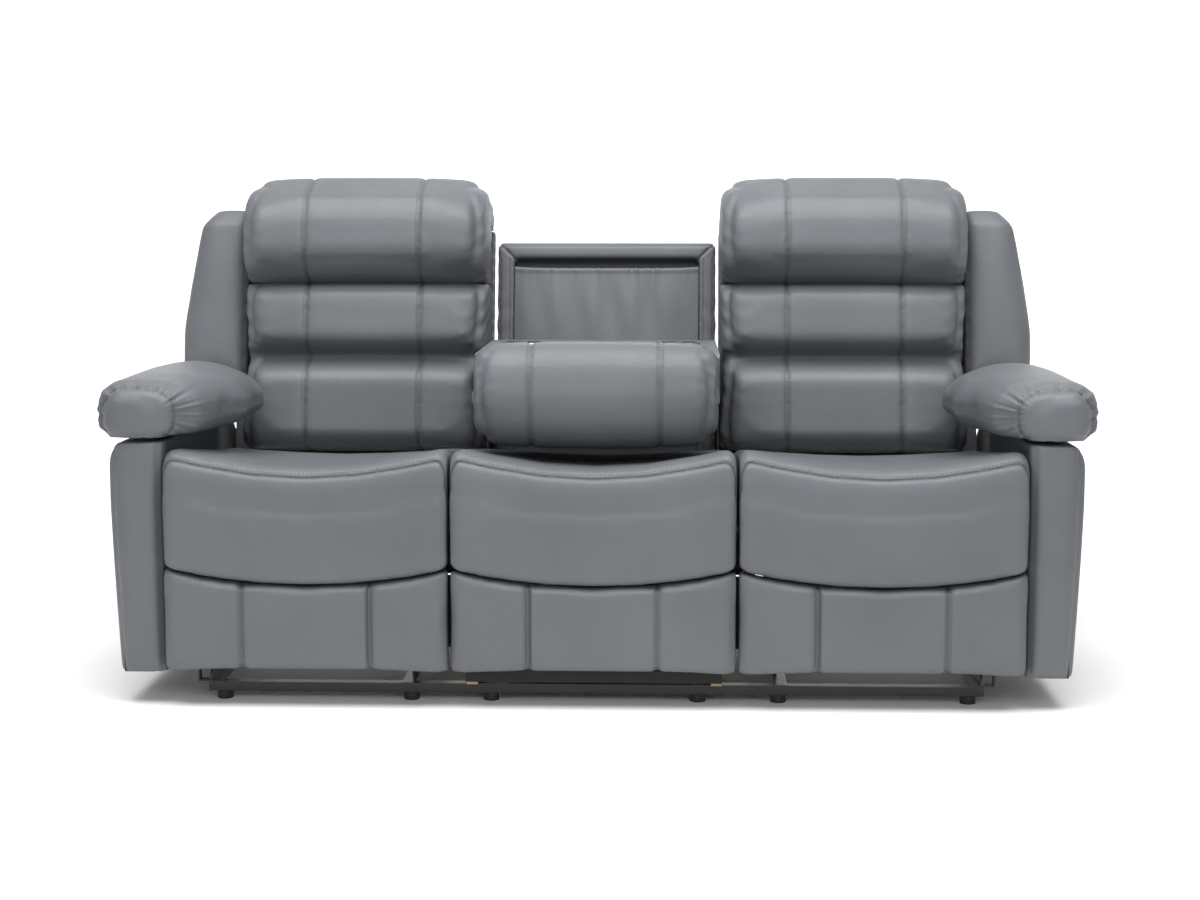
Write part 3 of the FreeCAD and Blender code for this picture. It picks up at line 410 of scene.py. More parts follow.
def stitches(name, lines, body, thread):
    """One mesh of short threads along traced lines."""
    verts = []
    faces = []
    for hits in lines:
        if len(hits) < 2:
            continue
        points, normals = even_steps(hits, STITCH_LENGTH + STITCH_GAP)
        for i in range(len(points) - 1):
            along = points[i + 1] - points[i]
            if np.linalg.norm(along) > 2 * (STITCH_LENGTH + STITCH_GAP):
                continue
            add_stitch(verts, faces, points[i], along / np.linalg.norm(along), normals[i])
    finish_piece(shade_smooth(mesh_object(name, verts, faces)), body, thread)
    print(f"{name}: {len(verts) // (4 * STITCH_RING)} stitches")


def add_stitch(verts, faces, start, along, normal):
    """A thread that dips into the cover at both ends."""
    normal = normal / np.linalg.norm(normal)
    side = np.cross(along, normal)
    half = STITCH_THICK / 2
    rings = []
    dip, crown = (-0.0006, 0.6), (0.0003, 1.0)
    for share, (lift, thin) in ((0.0, dip), (0.25, crown), (0.75, crown), (1.0, dip)):
        centre = start + along * STITCH_LENGTH * share + normal * lift
        first = len(verts)
        for corner in range(STITCH_RING):
            angle = 2 * math.pi * corner / STITCH_RING
            spoke = side * math.cos(angle) + normal * math.sin(angle) * 0.8
            verts.append(tuple(centre + spoke * half * thin))
        rings.append(first)
    for low, high in zip(rings, rings[1:]):
        for corner in range(STITCH_RING):
            following = (corner + 1) % STITCH_RING
            faces.append((low + corner, low + following, high + following, high + corner))
    faces.append(tuple(rings[0] + corner for corner in reversed(range(STITCH_RING))))
    faces.append(tuple(rings[-1] + corner for corner in range(STITCH_RING)))


# %% [markdown]
# ## Finishes
# The sofa has mid grey faux leather with a pebbled grain, black painted steel, moulded
# plastic, steel cups, plywood and woven black cloth. Image textures could carry these, but they
# need unwrapped meshes. Each finish here is a node group with procedural noise for its
# grain and tone, at a real scale on the object; the leather also gets painted shade in its
# seams. The group gives colour, roughness and normal, and each material's own shader takes them.

# %% Node helpers
def node_group(name, inputs, outputs):
    """An empty shader group with its sockets."""
    group = bpy.data.node_groups.new(name, "ShaderNodeTree")
    for label, kind, value in inputs:
        socket = group.interface.new_socket(label, in_out="INPUT", socket_type=kind)
        if value is not None:
            socket.default_value = value
    for label, kind in outputs:
        group.interface.new_socket(label, in_out="OUTPUT", socket_type=kind)
    return group, group.nodes.new("NodeGroupInput"), group.nodes.new("NodeGroupOutput")


def add(tree, kind, links=None, **values):
    """A node with its values set; links maps each input to a socket or to a value."""
    node = tree.nodes.new(kind)
    for key, value in values.items():
        setattr(node, key, value)
    for key, source in (links or {}).items():
        if isinstance(source, bpy.types.NodeSocket):
            tree.links.new(source, node.inputs[key])
        else:
            node.inputs[key].default_value = source
    return node


def mix_colour(tree, factor, first, second, blend="MIX"):
    node = tree.nodes.new("ShaderNodeMix")
    node.data_type = "RGBA"
    node.blend_type = blend
    for index, source in ((0, factor), (6, first), (7, second)):
        if isinstance(source, bpy.types.NodeSocket):
            tree.links.new(source, node.inputs[index])
        else:
            node.inputs[index].default_value = source
    return node.outputs[2]


def mapped(tree, value, low, high, out_low, out_high):
    node = add(tree, "ShaderNodeMapRange", {"Value": value, "From Min": low, "From Max": high,
                                            "To Min": out_low, "To Max": out_high})
    return node.outputs["Result"]


# %% Leather group
TONE_IN = ("Tone", "NodeSocketColor", (0.1, 0.1, 0.1, 1))
SURFACE_OUT = [("Color", "NodeSocketColor"), ("Roughness", "NodeSocketFloat"), ("Normal", "NodeSocketVector")]
# Near black that the seam mask mixes in as painted shade.
PAINTED_SEAM_SHADE = (0.008, 0.008, 0.009, 1)


def leather_group():
    """Faux leather: pebbled grain, faint creases, soft changes of tone and shine, and painted shade in the
    seams.
    """
    group, into, out = node_group("faux_leather", [TONE_IN, ("Grain", "NodeSocketFloat", 0.3)], SURFACE_OUT)
    place = add(group, "ShaderNodeTexCoord").outputs["Object"]
    pebble = add(group, "ShaderNodeTexVoronoi", {"Vector": place, "Scale": 620.0}, feature="F1")
    fine = add(group, "ShaderNodeTexNoise", {"Vector": place, "Scale": 900.0, "Detail": 3.0})
    crinkle = add(group, "ShaderNodeTexNoise", {"Vector": place, "Scale": 46.0, "Detail": 5.0,
                                                "Roughness": 0.55, "Distortion": 0.6})
    broad = add(group, "ShaderNodeTexNoise", {"Vector": place, "Scale": 5.5, "Detail": 3.0})
    tone = mix_colour(group, mapped(group, broad.outputs["Fac"], 0.3, 0.7, 0.0, 1.0),
                      (0.93, 0.93, 0.93, 1), (1.07, 1.07, 1.08, 1))
    dark = mix_colour(group, mapped(group, pebble.outputs["Distance"], 0.0, 0.6, 1.0, 0.0),
                      (1.0, 1.0, 1.0, 1), (0.86, 0.86, 0.87, 1))
    colour = mix_colour(group, 1.0, into.outputs["Tone"], tone, "MULTIPLY")
    colour = mix_colour(group, 1.0, colour, dark, "MULTIPLY")
    # Painted shade: the seam mask, made where channels are pressed in, darkens the colour towards near black.
    seam = add(group, "ShaderNodeAttribute", attribute_name="seam").outputs["Fac"]
    colour = mix_colour(group, seam, colour, PAINTED_SEAM_SHADE)
    group.links.new(colour, out.inputs["Color"])
    shine = mapped(group, crinkle.outputs["Fac"], 0.3, 0.7, 0.44, 0.55)
    group.links.new(shine, out.inputs["Roughness"])
    soft = add(group, "ShaderNodeBump", {"Height": crinkle.outputs["Fac"], "Strength": 0.22,
                                         "Distance": 0.0018})
    pebbled = add(group, "ShaderNodeBump", {"Height": pebble.outputs["Distance"],
                                            "Strength": into.outputs["Grain"],
                                            "Distance": 0.00025, "Normal": soft.outputs["Normal"]})
    pored = add(group, "ShaderNodeBump", {"Height": fine.outputs["Fac"], "Strength": 0.2,
                                          "Distance": 0.0001, "Normal": pebbled.outputs["Normal"]})
    group.links.new(pored.outputs["Normal"], out.inputs["Normal"])
    return group


# %% Other surface groups
def speckled_group(name, scale, spread, rough, bump):
    """A painted, cast or raw surface: fine speckle in tone, roughness and height."""
    group, into, out = node_group(name, [TONE_IN], SURFACE_OUT)
    place = add(group, "ShaderNodeTexCoord").outputs["Object"]
    fine = add(group, "ShaderNodeTexNoise", {"Vector": place, "Scale": scale, "Detail": 4.0})
    broad = add(group, "ShaderNodeTexNoise", {"Vector": place, "Scale": 14.0, "Detail": 3.0})
    tone = mix_colour(group, broad.outputs["Fac"], (1 - spread, 1 - spread, 1 - spread, 1),
                      (1 + spread, 1 + spread, 1 + spread, 1))
    colour = mix_colour(group, 1.0, into.outputs["Tone"], tone, "MULTIPLY")
    group.links.new(colour, out.inputs["Color"])
    group.links.new(mapped(group, fine.outputs["Fac"], 0.3, 0.7, *rough), out.inputs["Roughness"])
    bumped = add(group, "ShaderNodeBump", {"Height": fine.outputs["Fac"], "Strength": 0.5,
                                           "Distance": bump})
    group.links.new(bumped.outputs["Normal"], out.inputs["Normal"])
    return group


def wood_group():
    """Raw plywood: long grain in bands with darker pores."""
    group, into, out = node_group("raw_plywood", [TONE_IN], SURFACE_OUT)
    place = add(group, "ShaderNodeTexCoord").outputs["Object"]
    squeezed = add(group, "ShaderNodeMapping", {"Vector": place, "Scale": (1.2, 1.2, 18.0)})
    along = squeezed.outputs["Vector"]
    bands = add(group, "ShaderNodeTexNoise", {"Vector": along, "Scale": 6.0, "Detail": 6.0,
                                              "Distortion": 0.8})
    pores = add(group, "ShaderNodeTexNoise", {"Vector": along, "Scale": 60.0, "Detail": 3.0})
    light = mix_colour(group, mapped(group, bands.outputs["Fac"], 0.35, 0.65, 0.0, 1.0),
                       (0.74, 0.70, 0.62, 1), (1.12, 1.08, 1.0, 1))
    colour = mix_colour(group, 1.0, into.outputs["Tone"], light, "MULTIPLY")
    group.links.new(colour, out.inputs["Color"])
    group.links.new(mapped(group, pores.outputs["Fac"], 0.3, 0.7, 0.55, 0.8), out.inputs["Roughness"])
    bumped = add(group, "ShaderNodeBump", {"Height": pores.outputs["Fac"], "Strength": 0.4,
                                           "Distance": 0.0004})
    group.links.new(bumped.outputs["Normal"], out.inputs["Normal"])
    return group


def woven_group():
    """Elastic webbing or cloth: crossing threads."""
    group, into, out = node_group("woven_band", [TONE_IN, ("Threads", "NodeSocketFloat", 420.0)], SURFACE_OUT)
    place = add(group, "ShaderNodeTexCoord").outputs["Object"]
    wave = {"Vector": place, "Scale": into.outputs["Threads"], "Distortion": 0.4}
    one, two = (add(group, "ShaderNodeTexWave", wave, bands_direction=way) for way in "XY")
    crossed = add(group, "ShaderNodeMath", {0: one.outputs["Fac"], 1: two.outputs["Fac"]},
                  operation="MULTIPLY")
    tone = mix_colour(group, crossed.outputs[0], (0.6, 0.6, 0.6, 1), (1.2, 1.2, 1.2, 1))
    colour = mix_colour(group, 1.0, into.outputs["Tone"], tone, "MULTIPLY")
    group.links.new(colour, out.inputs["Color"])
    group.links.new(mapped(group, crossed.outputs[0], 0.0, 1.0, 0.75, 0.92), out.inputs["Roughness"])
    bumped = add(group, "ShaderNodeBump", {"Height": crossed.outputs[0], "Strength": 0.6,
                                           "Distance": 0.0005})
    group.links.new(bumped.outputs["Normal"], out.inputs["Normal"])
    return group


# %% Materials
def material(name, group, tone, metallic=0.0, specular=0.5, coat=0.0, **inputs):
    """A material whose shader takes colour, roughness and normal from a group."""
    made = bpy.data.materials.new(name)
    made.use_nodes = True
    tree = made.node_tree
    shader = tree.nodes["Principled BSDF"]
    shader.inputs["Metallic"].default_value = metallic
    shader.inputs["Specular IOR Level"].default_value = specular
    shader.inputs["Coat Weight"].default_value = coat
    surface = tree.nodes.new("ShaderNodeGroup")
    surface.node_tree = group
    surface.inputs["Tone"].default_value = (*tone, 1)
    for key, value in inputs.items():
        surface.inputs[key].default_value = value
    for given, taken in (("Color", "Base Color"), ("Roughness", "Roughness"), ("Normal", "Normal")):
        tree.links.new(surface.outputs[given], shader.inputs[taken])
    return made


LEATHER = leather_group()
PAINT = speckled_group("black_paint", 380.0, 0.15, (0.32, 0.5), 0.0002)
CAST = speckled_group("moulded_plastic", 800.0, 0.1, (0.45, 0.62), 0.0001)
STEEL = speckled_group("spun_steel", 240.0, 0.06, (0.22, 0.34), 0.0001)
grey = material("grey_faux_leather", LEATHER, (0.112, 0.119, 0.129), Grain=0.30)
thread = material("stitch_thread", speckled_group("thread_twist", 1500.0, 0.1, (0.5, 0.7), 0.0002),
                  (0.075, 0.078, 0.085))
black_steel = material("black_painted_steel", PAINT, (0.012, 0.012, 0.013))
black_plastic = material("black_plastic", CAST, (0.014, 0.014, 0.015))
stainless = material("stainless_steel", STEEL, (0.62, 0.62, 0.63), metallic=1.0)
plywood = material("raw_plywood", wood_group(), (0.52, 0.38, 0.24))
WOVEN = woven_group()
webbing = material("elastic_webbing", WOVEN, (0.05, 0.05, 0.055), Threads=420.0)
lining = material("black_lining", WOVEN, (0.012, 0.012, 0.013), Threads=700.0)
SLOT_MATERIALS = {"black_steel": black_steel, "stainless_steel": stainless, "plywood": plywood,
                  "black_plastic": black_plastic, "webbing": webbing, "black_cloth": lining,
                  "grey_upholstery": grey}
print("materials:", len(bpy.data.materials))


# %% Dressing the CAD nodes
def finish_piece(obj, body, finish, nodes=()):
    """Gives a new piece its finish and its place in the frame."""
    obj.data.materials.clear()
    obj.data.materials.append(finish)
    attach(obj, body)
    if nodes:
        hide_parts(*nodes)
    return obj


slots = {entry["node"]: entry["material_slot"] for entry in frame["record"]["subparts"]}
for node, obj in frame["nodes"].items():
    obj.data.materials.clear()
    obj.data.materials.append(SLOT_MATERIALS[slots[node]])
print("nodes with a finish:", len(slots))


# %% [markdown]
# ## Left and right
# The sofa's halves are mirror images. A mirror modifier would keep both halves in one object,
# but each half rides on its own moving body. So the right piece is made, and a copy with
# mirrored places and flipped faces becomes the left one.

# %% Mirror image
def mirror_image(obj, name, shift=0.0, flip=True):
    """A copy moved along x, or mirrored across the sofa's middle."""
    mesh = obj.data.copy()
    twin = new_object(name, mesh)
    co = get_co(twin)
    co[:, 0] = -co[:, 0] if flip else co[:, 0] + shift
    set_co(twin, co)
    if flip:
        mesh.flip_normals()
    return twin


# %% [markdown]
# ## Seats
# Each seat is low in the middle and high at the sides, and its front border hangs down over
# the panel. A curved seam marks where the top meets the border. The cover is blown up only a
# little, because the seat's foam is firm, and the seam is pressed in afterwards. The middle
# seat is the same cushion, moved along the sofa.

# %% Seat cushions
SEAT_SEAM_Y = -0.456
SEAT_SEAM_DEPTH = 0.0034
LIP_DROP = 0.0015


def seat_held(co):
    underneath = (co[:, 2] < 0.3495) & (co[:, 1] > -0.404)
    border_rear = (np.abs(co[:, 1] + 0.405) < 0.004) & (co[:, 2] < 0.353)
    rear = co[:, 1] > 0.1135
    return underneath | border_rear | rear


def make_seat():
    source = copy_of_node("right_seat_cushion", "seat_source")
    seat = soft_cover("right_seat_cover", source, "right_seat_cushion", seat_held, cap=0.0015,
                      draw_in=0.0005, rounds=5, margin=(0.0018, 0.002, 0.002), grow=0.005)
    co = get_co(seat)
    lip = (co[:, 1] < -0.400) * np.clip((0.33 - co[:, 2]) / 0.05, 0, 1)
    co[:, 2] -= LIP_DROP * lip
    set_co(seat, co)
    crease(seat, 1, SEAT_SEAM_Y, SEAT_SEAM_DEPTH, spread=SEAT_SEAM_DEPTH, where=lambda co: co[:, 2] > 0.42,
           shade=0.6)
    pucker(seat, lambda co: SEAT_HALF - np.abs(co[:, 0] - SEAT_PITCH), lambda co: co[:, 1] - co[:, 2],
           0.0012, 0.03, 0.045, 3)
    return seat


def seat_stitches(seat, name, body):
    surface = surface_of(seat)
    middle = np.mean([corner[0] for corner in seat.bound_box])
    xs = np.linspace(middle - SEAT_HALF + 0.006, middle + SEAT_HALF - 0.006, 140)
    y = SEAT_SEAM_Y + 0.006
    line = trace(surface, [(x, y, 0.7) for x in xs], [(0, 0, -1)] * len(xs))
    stitches(name, [line], body, thread)


right_seat = make_seat()
centre_seat = mirror_image(right_seat, "centre_seat_cover", shift=-SEAT_PITCH, flip=False)
left_seat = mirror_image(right_seat, "left_seat_cover")
for cover, node, body in ((right_seat, "right_seat_cushion", "right_seat"),
                          (centre_seat, "centre_seat_cushion", "frame"),
                          (left_seat, "left_seat_cushion", "left_seat")):
    finish_piece(cover, body, grey, nodes=(node,))
    seat_stitches(cover, node.replace("cushion", "stitches"), body)


# %% [markdown]
# ## Footrests and front panel
# Below each seat is a padded panel with two double-stitched channels. The outer two are the
# footrests, and the middle one is fixed. Their upper edge follows the seat's curved lip with
# a small gap. A simulation doesn't know about the lip, so the edge is measured against
# it in narrow bins, and lifted or lowered to meet it.

# %% Panels
PANEL_SEAM = 0.127
PANEL_STITCHES = 0.0062
PANEL_SPAN = 0.27
LIP_CLEARANCE = 0.0012


def lowest_or_highest(co, bins, take):
    """The lowest or highest z of the points in each bin along x."""
    found = np.full(bins.max() + 1, np.nan)
    for number in np.unique(bins):
        found[number] = take(co[bins == number, 2])
    return found


def meet_the_lip(panel):
    """Lifts the panel's upper part so that it ends just under the seat's lip, all along."""
    middles = np.linspace(SEAT_PITCH - PANEL_SPAN, SEAT_PITCH + PANEL_SPAN, 46)
    step = middles[1] - middles[0]
    lip = get_co(right_seat)
    lip = lip[(lip[:, 1] < -0.425) & (lip[:, 1] > -0.465) & (np.abs(lip[:, 0] - SEAT_PITCH) < PANEL_SPAN)]
    lip_z = lowest_or_highest(lip, np.rint((lip[:, 0] - middles[0]) / step).astype(int), np.min)
    co = get_co(panel)
    top = co[(co[:, 2] > 0.2) & (co[:, 1] < -0.425) & (np.abs(co[:, 0] - SEAT_PITCH) < PANEL_SPAN)]
    top_z = lowest_or_highest(top, np.rint((top[:, 0] - middles[0]) / step).astype(int), np.max)
    lift = np.interp(co[:, 0], middles, lip_z - top_z - LIP_CLEARANCE)
    co[:, 2] += lift * np.clip((co[:, 2] - 0.12) / 0.11, 0, 1)
    set_co(panel, co)
    print(f"panel lifted {lift.min() * 1000:.1f} to {lift.max() * 1000:.1f} mm to meet the lip")


def make_panel():
    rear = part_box("right_footrest_board")[0][1]
    source = copy_of_node("right_footrest_pad", "panel_source")
    panel = soft_cover("right_footrest_cover", source, "right_footrest_pad",
                       lambda co: co[:, 1] > rear - 0.003, voxel=0.006, cap=0.005, draw_in=0.002, rounds=3,
                       margin=(0.0020, 0.002, 0.002))
    meet_the_lip(panel)
    for side in (-1, 1):
        crease(panel, 0, SEAT_PITCH + side * PANEL_SEAM, 0.003, where=lambda co: co[:, 1] < rear - 0.012)
    return panel


def panel_stitches(panel, name, body, middle):
    surface = surface_of(panel)
    lines = []
    zs = np.linspace(0.085, 0.262, 70)
    for side in (-1, 1):
        for offset in (-PANEL_STITCHES, PANEL_STITCHES):
            x = middle + side * PANEL_SEAM + offset
            lines.append(trace(surface, [(x, -0.6, z) for z in zs], [(0, 1, 0)] * len(zs)))
    stitches(name, lines, body, thread)


right_panel = make_panel()
left_panel = mirror_image(right_panel, "left_footrest_cover")
centre_panel = mirror_image(right_panel, "centre_panel_cover", shift=-SEAT_PITCH, flip=False)
for cover, node, body, middle in ((right_panel, "right_footrest_pad", "right_footrest", SEAT_PITCH),
                                  (centre_panel, "centre_front_panel", "frame", 0.0),
                                  (left_panel, "left_footrest_pad", "left_footrest", -SEAT_PITCH)):
    finish_piece(cover, body, grey, nodes=(node,))
    panel_stitches(cover, node + "_stitches", body, middle)


# %% [markdown]
# ## Tails and lining
# A seat cover goes on behind the panel as a hanging tail, and black lining closes the joints
# beside the middle unit, so that no light shows through the sofa. Such cloth is thinner
# than a voxel and would be lost in a remesh. It is built directly, from a grid of front points
# with a copy behind it and a closed rim.

# %% Thin sheets
TAIL_Y = -0.4065
TAIL_HALF = 0.228


def thin_sheet(name, front, thickness, body, finish):
    """A closed sheet from rows of front points, each row a list of (x, y, z)."""
    rows, columns = len(front) - 1, len(front[0]) - 1
    verts = [point for row in front for point in row]
    verts += [(x, y + thickness, z) for x, y, z in verts]
    sheet = mesh_object(name, verts, grid_faces(rows, columns))
    finish_piece(sheet, body, finish)
    print(f"{name}: {rows} by {columns} squares")


def grid_faces(rows, columns):
    """Faces of a sheet with a front, a rear and a closed rim."""
    faces = []
    wide = columns + 1
    layer = (rows + 1) * wide
    for row in range(rows):
        for column in range(columns):
            first = row * wide + column
            square = (first, first + 1, first + wide + 1, first + wide)
            faces.append(square)
            faces.append(tuple(layer + corner for corner in reversed(square)))
    last = layer - 1
    rim = [*range(columns), *range(columns, last, wide), *range(last, last - columns, -1),
           *range(rows * wide, 0, -wide)]
    for first, second in zip(rim, rim[1:] + rim[:1]):
        faces.append((second, first, layer + first, layer + second))
    return faces


def seat_tail(middle, name, body):
    across = np.linspace(-TAIL_HALF, TAIL_HALF, 25)
    rows = [[(middle + s, TAIL_Y, 0.251 + 0.030 * (s / SEAT_HALF) ** 2 + rise) for s in across]
            for rise in (-0.016, 0.0, 0.020)]
    thin_sheet(name, rows, 0.0012, body, grey)


for middle, name, body in ((SEAT_PITCH, "right_seat_tail", "right_seat"),
                           (0.0, "centre_seat_tail", "frame"),
                           (-SEAT_PITCH, "left_seat_tail", "left_seat")):
    seat_tail(middle, name, body)
for sign, name in ((1, "right_joint_lining"), (-1, "left_joint_lining")):
    ends = sorted((sign * 0.252, sign * 0.297))
    rows = [[(x, -0.4165, z) for x in np.linspace(*ends, 5)] for z in np.linspace(0.115, 0.262, 9)]
    thin_sheet(name, rows, 0.0010, "frame", lining)
    ends = sorted((sign * 0.262, sign * 0.2965))
    rows = [[(x, -0.3995, z) for x in np.linspace(*ends, 5)] for z in np.linspace(0.262, 0.345, 7)]
    thin_sheet(name.replace("joint", "upper"), rows, 0.0010, "frame", lining)


# %% Rear cloth
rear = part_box("centre_seat_box")[1]


def ripple(x, z):
    return 0.0012 * math.sin(19.0 * x + 4.0 * z) * math.sin(11.0 * z)


rows = [[(x, rear[1] + 0.0022 + ripple(x, z), z) for x in np.linspace(-rear[0], rear[0], 41)]
        for z in np.linspace(0.040, rear[2], 25)]
thin_sheet("centre_rear_cloth", rows, 0.0008, "frame", lining)


# %% [markdown]
# ## Backs
# Each outer back has two tiers and a head roll, with two channels that run through all three.
# The CAD solid has the grooves between the tiers, the cloth fills the tiers between them,
# and the channels are pressed in where the photograph has them. The ends are rounded before
# the simulation, because pressure alone would leave them square.

# %% Back cushions
BACK_MIDDLE = 0.5395
BACK_HALF = 0.2785
BACK_SEAM = 0.128
BACK_STITCHES = 0.0066
GLUED = 0.0035


def back_held(co):
    return back_coords(co)[0] < GLUED


def end_of_back(co):
    """Distance from the nearer end of a back cushion."""
    return BACK_HALF - np.abs(co[:, 0] - BACK_MIDDLE)


def round_back_ends(obj):
    """Ends that turn back to the frame, and round upper corners on the head roll."""
    _, front, top = to_back(get_co(obj)).max(axis=0)
    for way in (-1, 1):
        end = BACK_MIDDLE + way * BACK_HALF
        round_corner(obj, 0, 1, (end - way * 0.050, front - 0.075), (0.050, 0.075), (way, 1), to_back,
                     from_back)
        if top > 0.55:
            round_corner(obj, 0, 2, (end - way * 0.062, top - 0.045), (0.062, 0.045), (way, 1), to_back,
                         from_back)


def make_back_cushion(name, node, held, cap, grow, seed):
    cover = soft_cover(name, copy_of_node(node, name + "_source"), node, held, cap=cap, draw_in=0.004,
                       rounds=4, margin=(0.001, 0.003, 0.003), pressure=5.0, grow=grow,
                       shape=round_back_ends)
    pucker(cover, end_of_back, lambda co: sum(back_coords(co)), 0.0018, 0.028, 0.05, seed)
    for side in (-1, 1):
        crease(cover, 0, BACK_MIDDLE + side * BACK_SEAM, 0.0035, where=lambda co: back_coords(co)[0] > 0.02)
    return cover


def head_held(co):
    n, t = back_coords(co)
    under_roll = (n < GLUED) & (t < 0.52)
    over_frame = (t < 0.5195) & (n < 0.02)
    return under_roll | over_frame


def stitch_rows(middle, seam):
    """The x of the two rows of stitches beside each of two channels."""
    return [middle + side * seam + offset for side in (-1, 1) for offset in (-BACK_STITCHES, BACK_STITCHES)]


def lumbar_stitches(cover, name, body, middle):
    surface = surface_of(cover)
    lines = []
    ahead = (0.0, math.cos(LEAN), -math.sin(LEAN))
    for x in stitch_rows(middle, BACK_SEAM):
        places = [(x, *back_point(0.30, t)) for t in np.linspace(0.0, 0.355, 120)]
        lines.append(trace(surface, places, [ahead] * len(places)))
    stitches(name, lines, body, thread)


def head_stitches(cover, name, body, middle):
    surface = surface_of(cover)
    lines = []
    for x in stitch_rows(middle, BACK_SEAM):
        centre = np.array((x, *back_point(0.07, 0.47)))
        starts = []
        aims = []
        for angle in np.linspace(math.radians(-48), math.radians(150), 150):
            way = np.array((0.0, -math.cos(angle + LEAN), math.sin(angle + LEAN)))
            starts.append(centre + way * 0.4)
            aims.append(-way)
        lines.append(trace(surface, starts, aims))
    stitches(name, lines, body, thread)


lumbar = make_back_cushion("right_lumbar_cover", "right_lumbar_cushion", back_held, 0.008, 0.008, 11)
head = make_back_cushion("right_head_cover", "right_head_cushion", head_held, 0.009, 0.008, 12)
for side, sign in SIDES.items():
    body = side + "_back"
    low = lumbar if sign > 0 else mirror_image(lumbar, "left_lumbar_cover")
    high = head if sign > 0 else mirror_image(head, "left_head_cover")
    finish_piece(low, body, grey, nodes=(side + "_lumbar_cushion",))
    finish_piece(high, body, grey, nodes=(side + "_head_cushion",))
    lumbar_stitches(low, side + "_lumbar_stitches", body, sign * BACK_MIDDLE)
    head_stitches(high, side + "_head_stitches", body, sign * BACK_MIDDLE)


# %% [markdown]
# ## Pull strips
# A back cushion's cover goes on under the cushion as a plain strip that is stapled to the
# frame's bottom rail, and round the outer post. It hides the wood between back and seat. It
# is an outline with two sides, two millimetres before the frame, because it is too thin
# to be remeshed.

# %% Pull strips
def make_pull_strip():
    """A strip below the lumbar cushion that turns up beside its outer end."""
    inner, outer = BACK_MIDDLE - 0.2775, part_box("right_back_frame")[1][0] + 0.0015
    outline = [(inner, -0.036), (outer, -0.036), (outer, 0.150), (outer - 0.055, 0.150),
               (outer - 0.060, 0.040), (inner, 0.040)]
    build = bmesh.new()
    front = [build.verts.new((x, *back_point(0.0022, t))) for x, t in outline]
    rear = [build.verts.new((x, *back_point(0.0004, t))) for x, t in outline]
    build.faces.new(front)
    build.faces.new(rear[::-1])
    for i in range(len(outline)):
        following = (i + 1) % len(outline)
        build.faces.new((front[following], front[i], rear[i], rear[following]))
    bmesh.ops.recalc_face_normals(build, faces=build.faces)
    bmesh.ops.triangulate(build, faces=build.faces)
    mesh = bpy.data.meshes.new("right_pull_strip")
    build.to_mesh(mesh)
    build.free()
    return new_object("right_pull_strip", mesh)


right_strip = make_pull_strip()
left_strip = mirror_image(right_strip, "left_pull_strip")
for strip, side in ((right_strip, "right"), (left_strip, "left")):
    finish_piece(strip, f"{side}_back", grey)
print("pull strip:", len(right_strip.data.polygons), "faces")


# %% [markdown]
# ## Wings and rear covers
# The wing is a padded side of the back. Behind it the rear cover is a thin upholstered panel.
# In CAD both are one shell, so it is cut in two by a plane beside the cushions. The wing is
# blown up, and the rear cover stays thin and only gets softer edges.

# %% Wings
REAR_COVER_REACH = 0.009
WING_MARGIN = (0.001, 0.002, 0.002)
WING_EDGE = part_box("right_lumbar_cushion")[1][0] + 0.001


def make_wing():
    source = keep_side(copy_of_node("right_back_shell", "wing_source"), (WING_EDGE, 0, 0), (-1, 0, 0))
    inset = get_co(source).min(axis=0) - np.array(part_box("right_back_shell")[0])
    return soft_cover("right_wing_cover", source, "right_back_shell", lambda co: co[:, 0] < WING_EDGE + 0.003,
                      cap=0.012, draw_in=0.005, rounds=14, margin=WING_MARGIN, grow=0.005,
                      inset=inset + np.array(WING_MARGIN))


def make_rear_cover():
    cover = keep_side(copy_of_node("right_back_shell", "right_rear_cover"), (WING_EDGE, 0, 0), (1, 0, 0))
    remesh(cover, 0.0065)
    smooth(cover, 3)
    values = to_back(get_co(cover))
    ahead = np.clip((values[:, 1] + 0.014) / 0.010, 0, 1)
    values[:, 1] += REAR_COVER_REACH * ahead
    set_co(cover, from_back(values))
    return shade_smooth(cover)


wing = make_wing()
rear_cover = make_rear_cover()
for side in SIDES:
    body = side + "_back"
    right = side == "right"
    padded_wing = wing if right else mirror_image(wing, "left_wing_cover")
    cover = rear_cover if right else mirror_image(rear_cover, "left_rear_cover")
    finish_piece(padded_wing, body, grey, nodes=(side + "_back_shell",))
    finish_piece(cover, body, grey, nodes=(side + "_back_shell",))
print("rear cover:", len(rear_cover.data.vertices), "points")


# %% [markdown]
# ## Console
# The folded middle back has its tiers underneath and its roll at the free end. It is made
# like the outer backs, and its roll thins towards both ends as a pillow does. A leather band
# closes each side of the board between cushions and tray.

# %% Console covers
CONSOLE_SEAM = 0.131
CONSOLE_HALF = 0.250


def round_roll_ends(obj):
    """Pillow ends: the roll gets thinner towards both ends, all the way round."""
    co = get_co(obj)
    low, high = co.min(axis=0), co.max(axis=0)
    for way in (-1, 1):
        end = high[0] if way > 0 else low[0]
        for axis, edge, side, reach in ((2, high[2], 1, 0.026), (2, low[2], -1, 0.050),
                                        (1, low[1], -1, 0.070)):
            round_corner(obj, 0, axis, (end - way * 0.052, edge - side * reach), (0.052, reach),
                         (way, side))


def make_console_cover(name, node, held, cap, seed):
    shape = round_roll_ends if "head" in name else None
    cover = soft_cover(name, copy_of_node(node, name + "_source"), node, held, cap=cap, draw_in=0.006,
                       rounds=4, margin=(0.0015, 0.003, 0.002), pressure=5.0, grow=0.008, shape=shape)
    pucker(cover, lambda co: CONSOLE_HALF - np.abs(co[:, 0]), lambda co: co[:, 1] + co[:, 2],
           0.0018, 0.03, 0.04, seed)
    for side in (-1, 1):
        crease(cover, 0, side * CONSOLE_SEAM, 0.0035)
    return cover


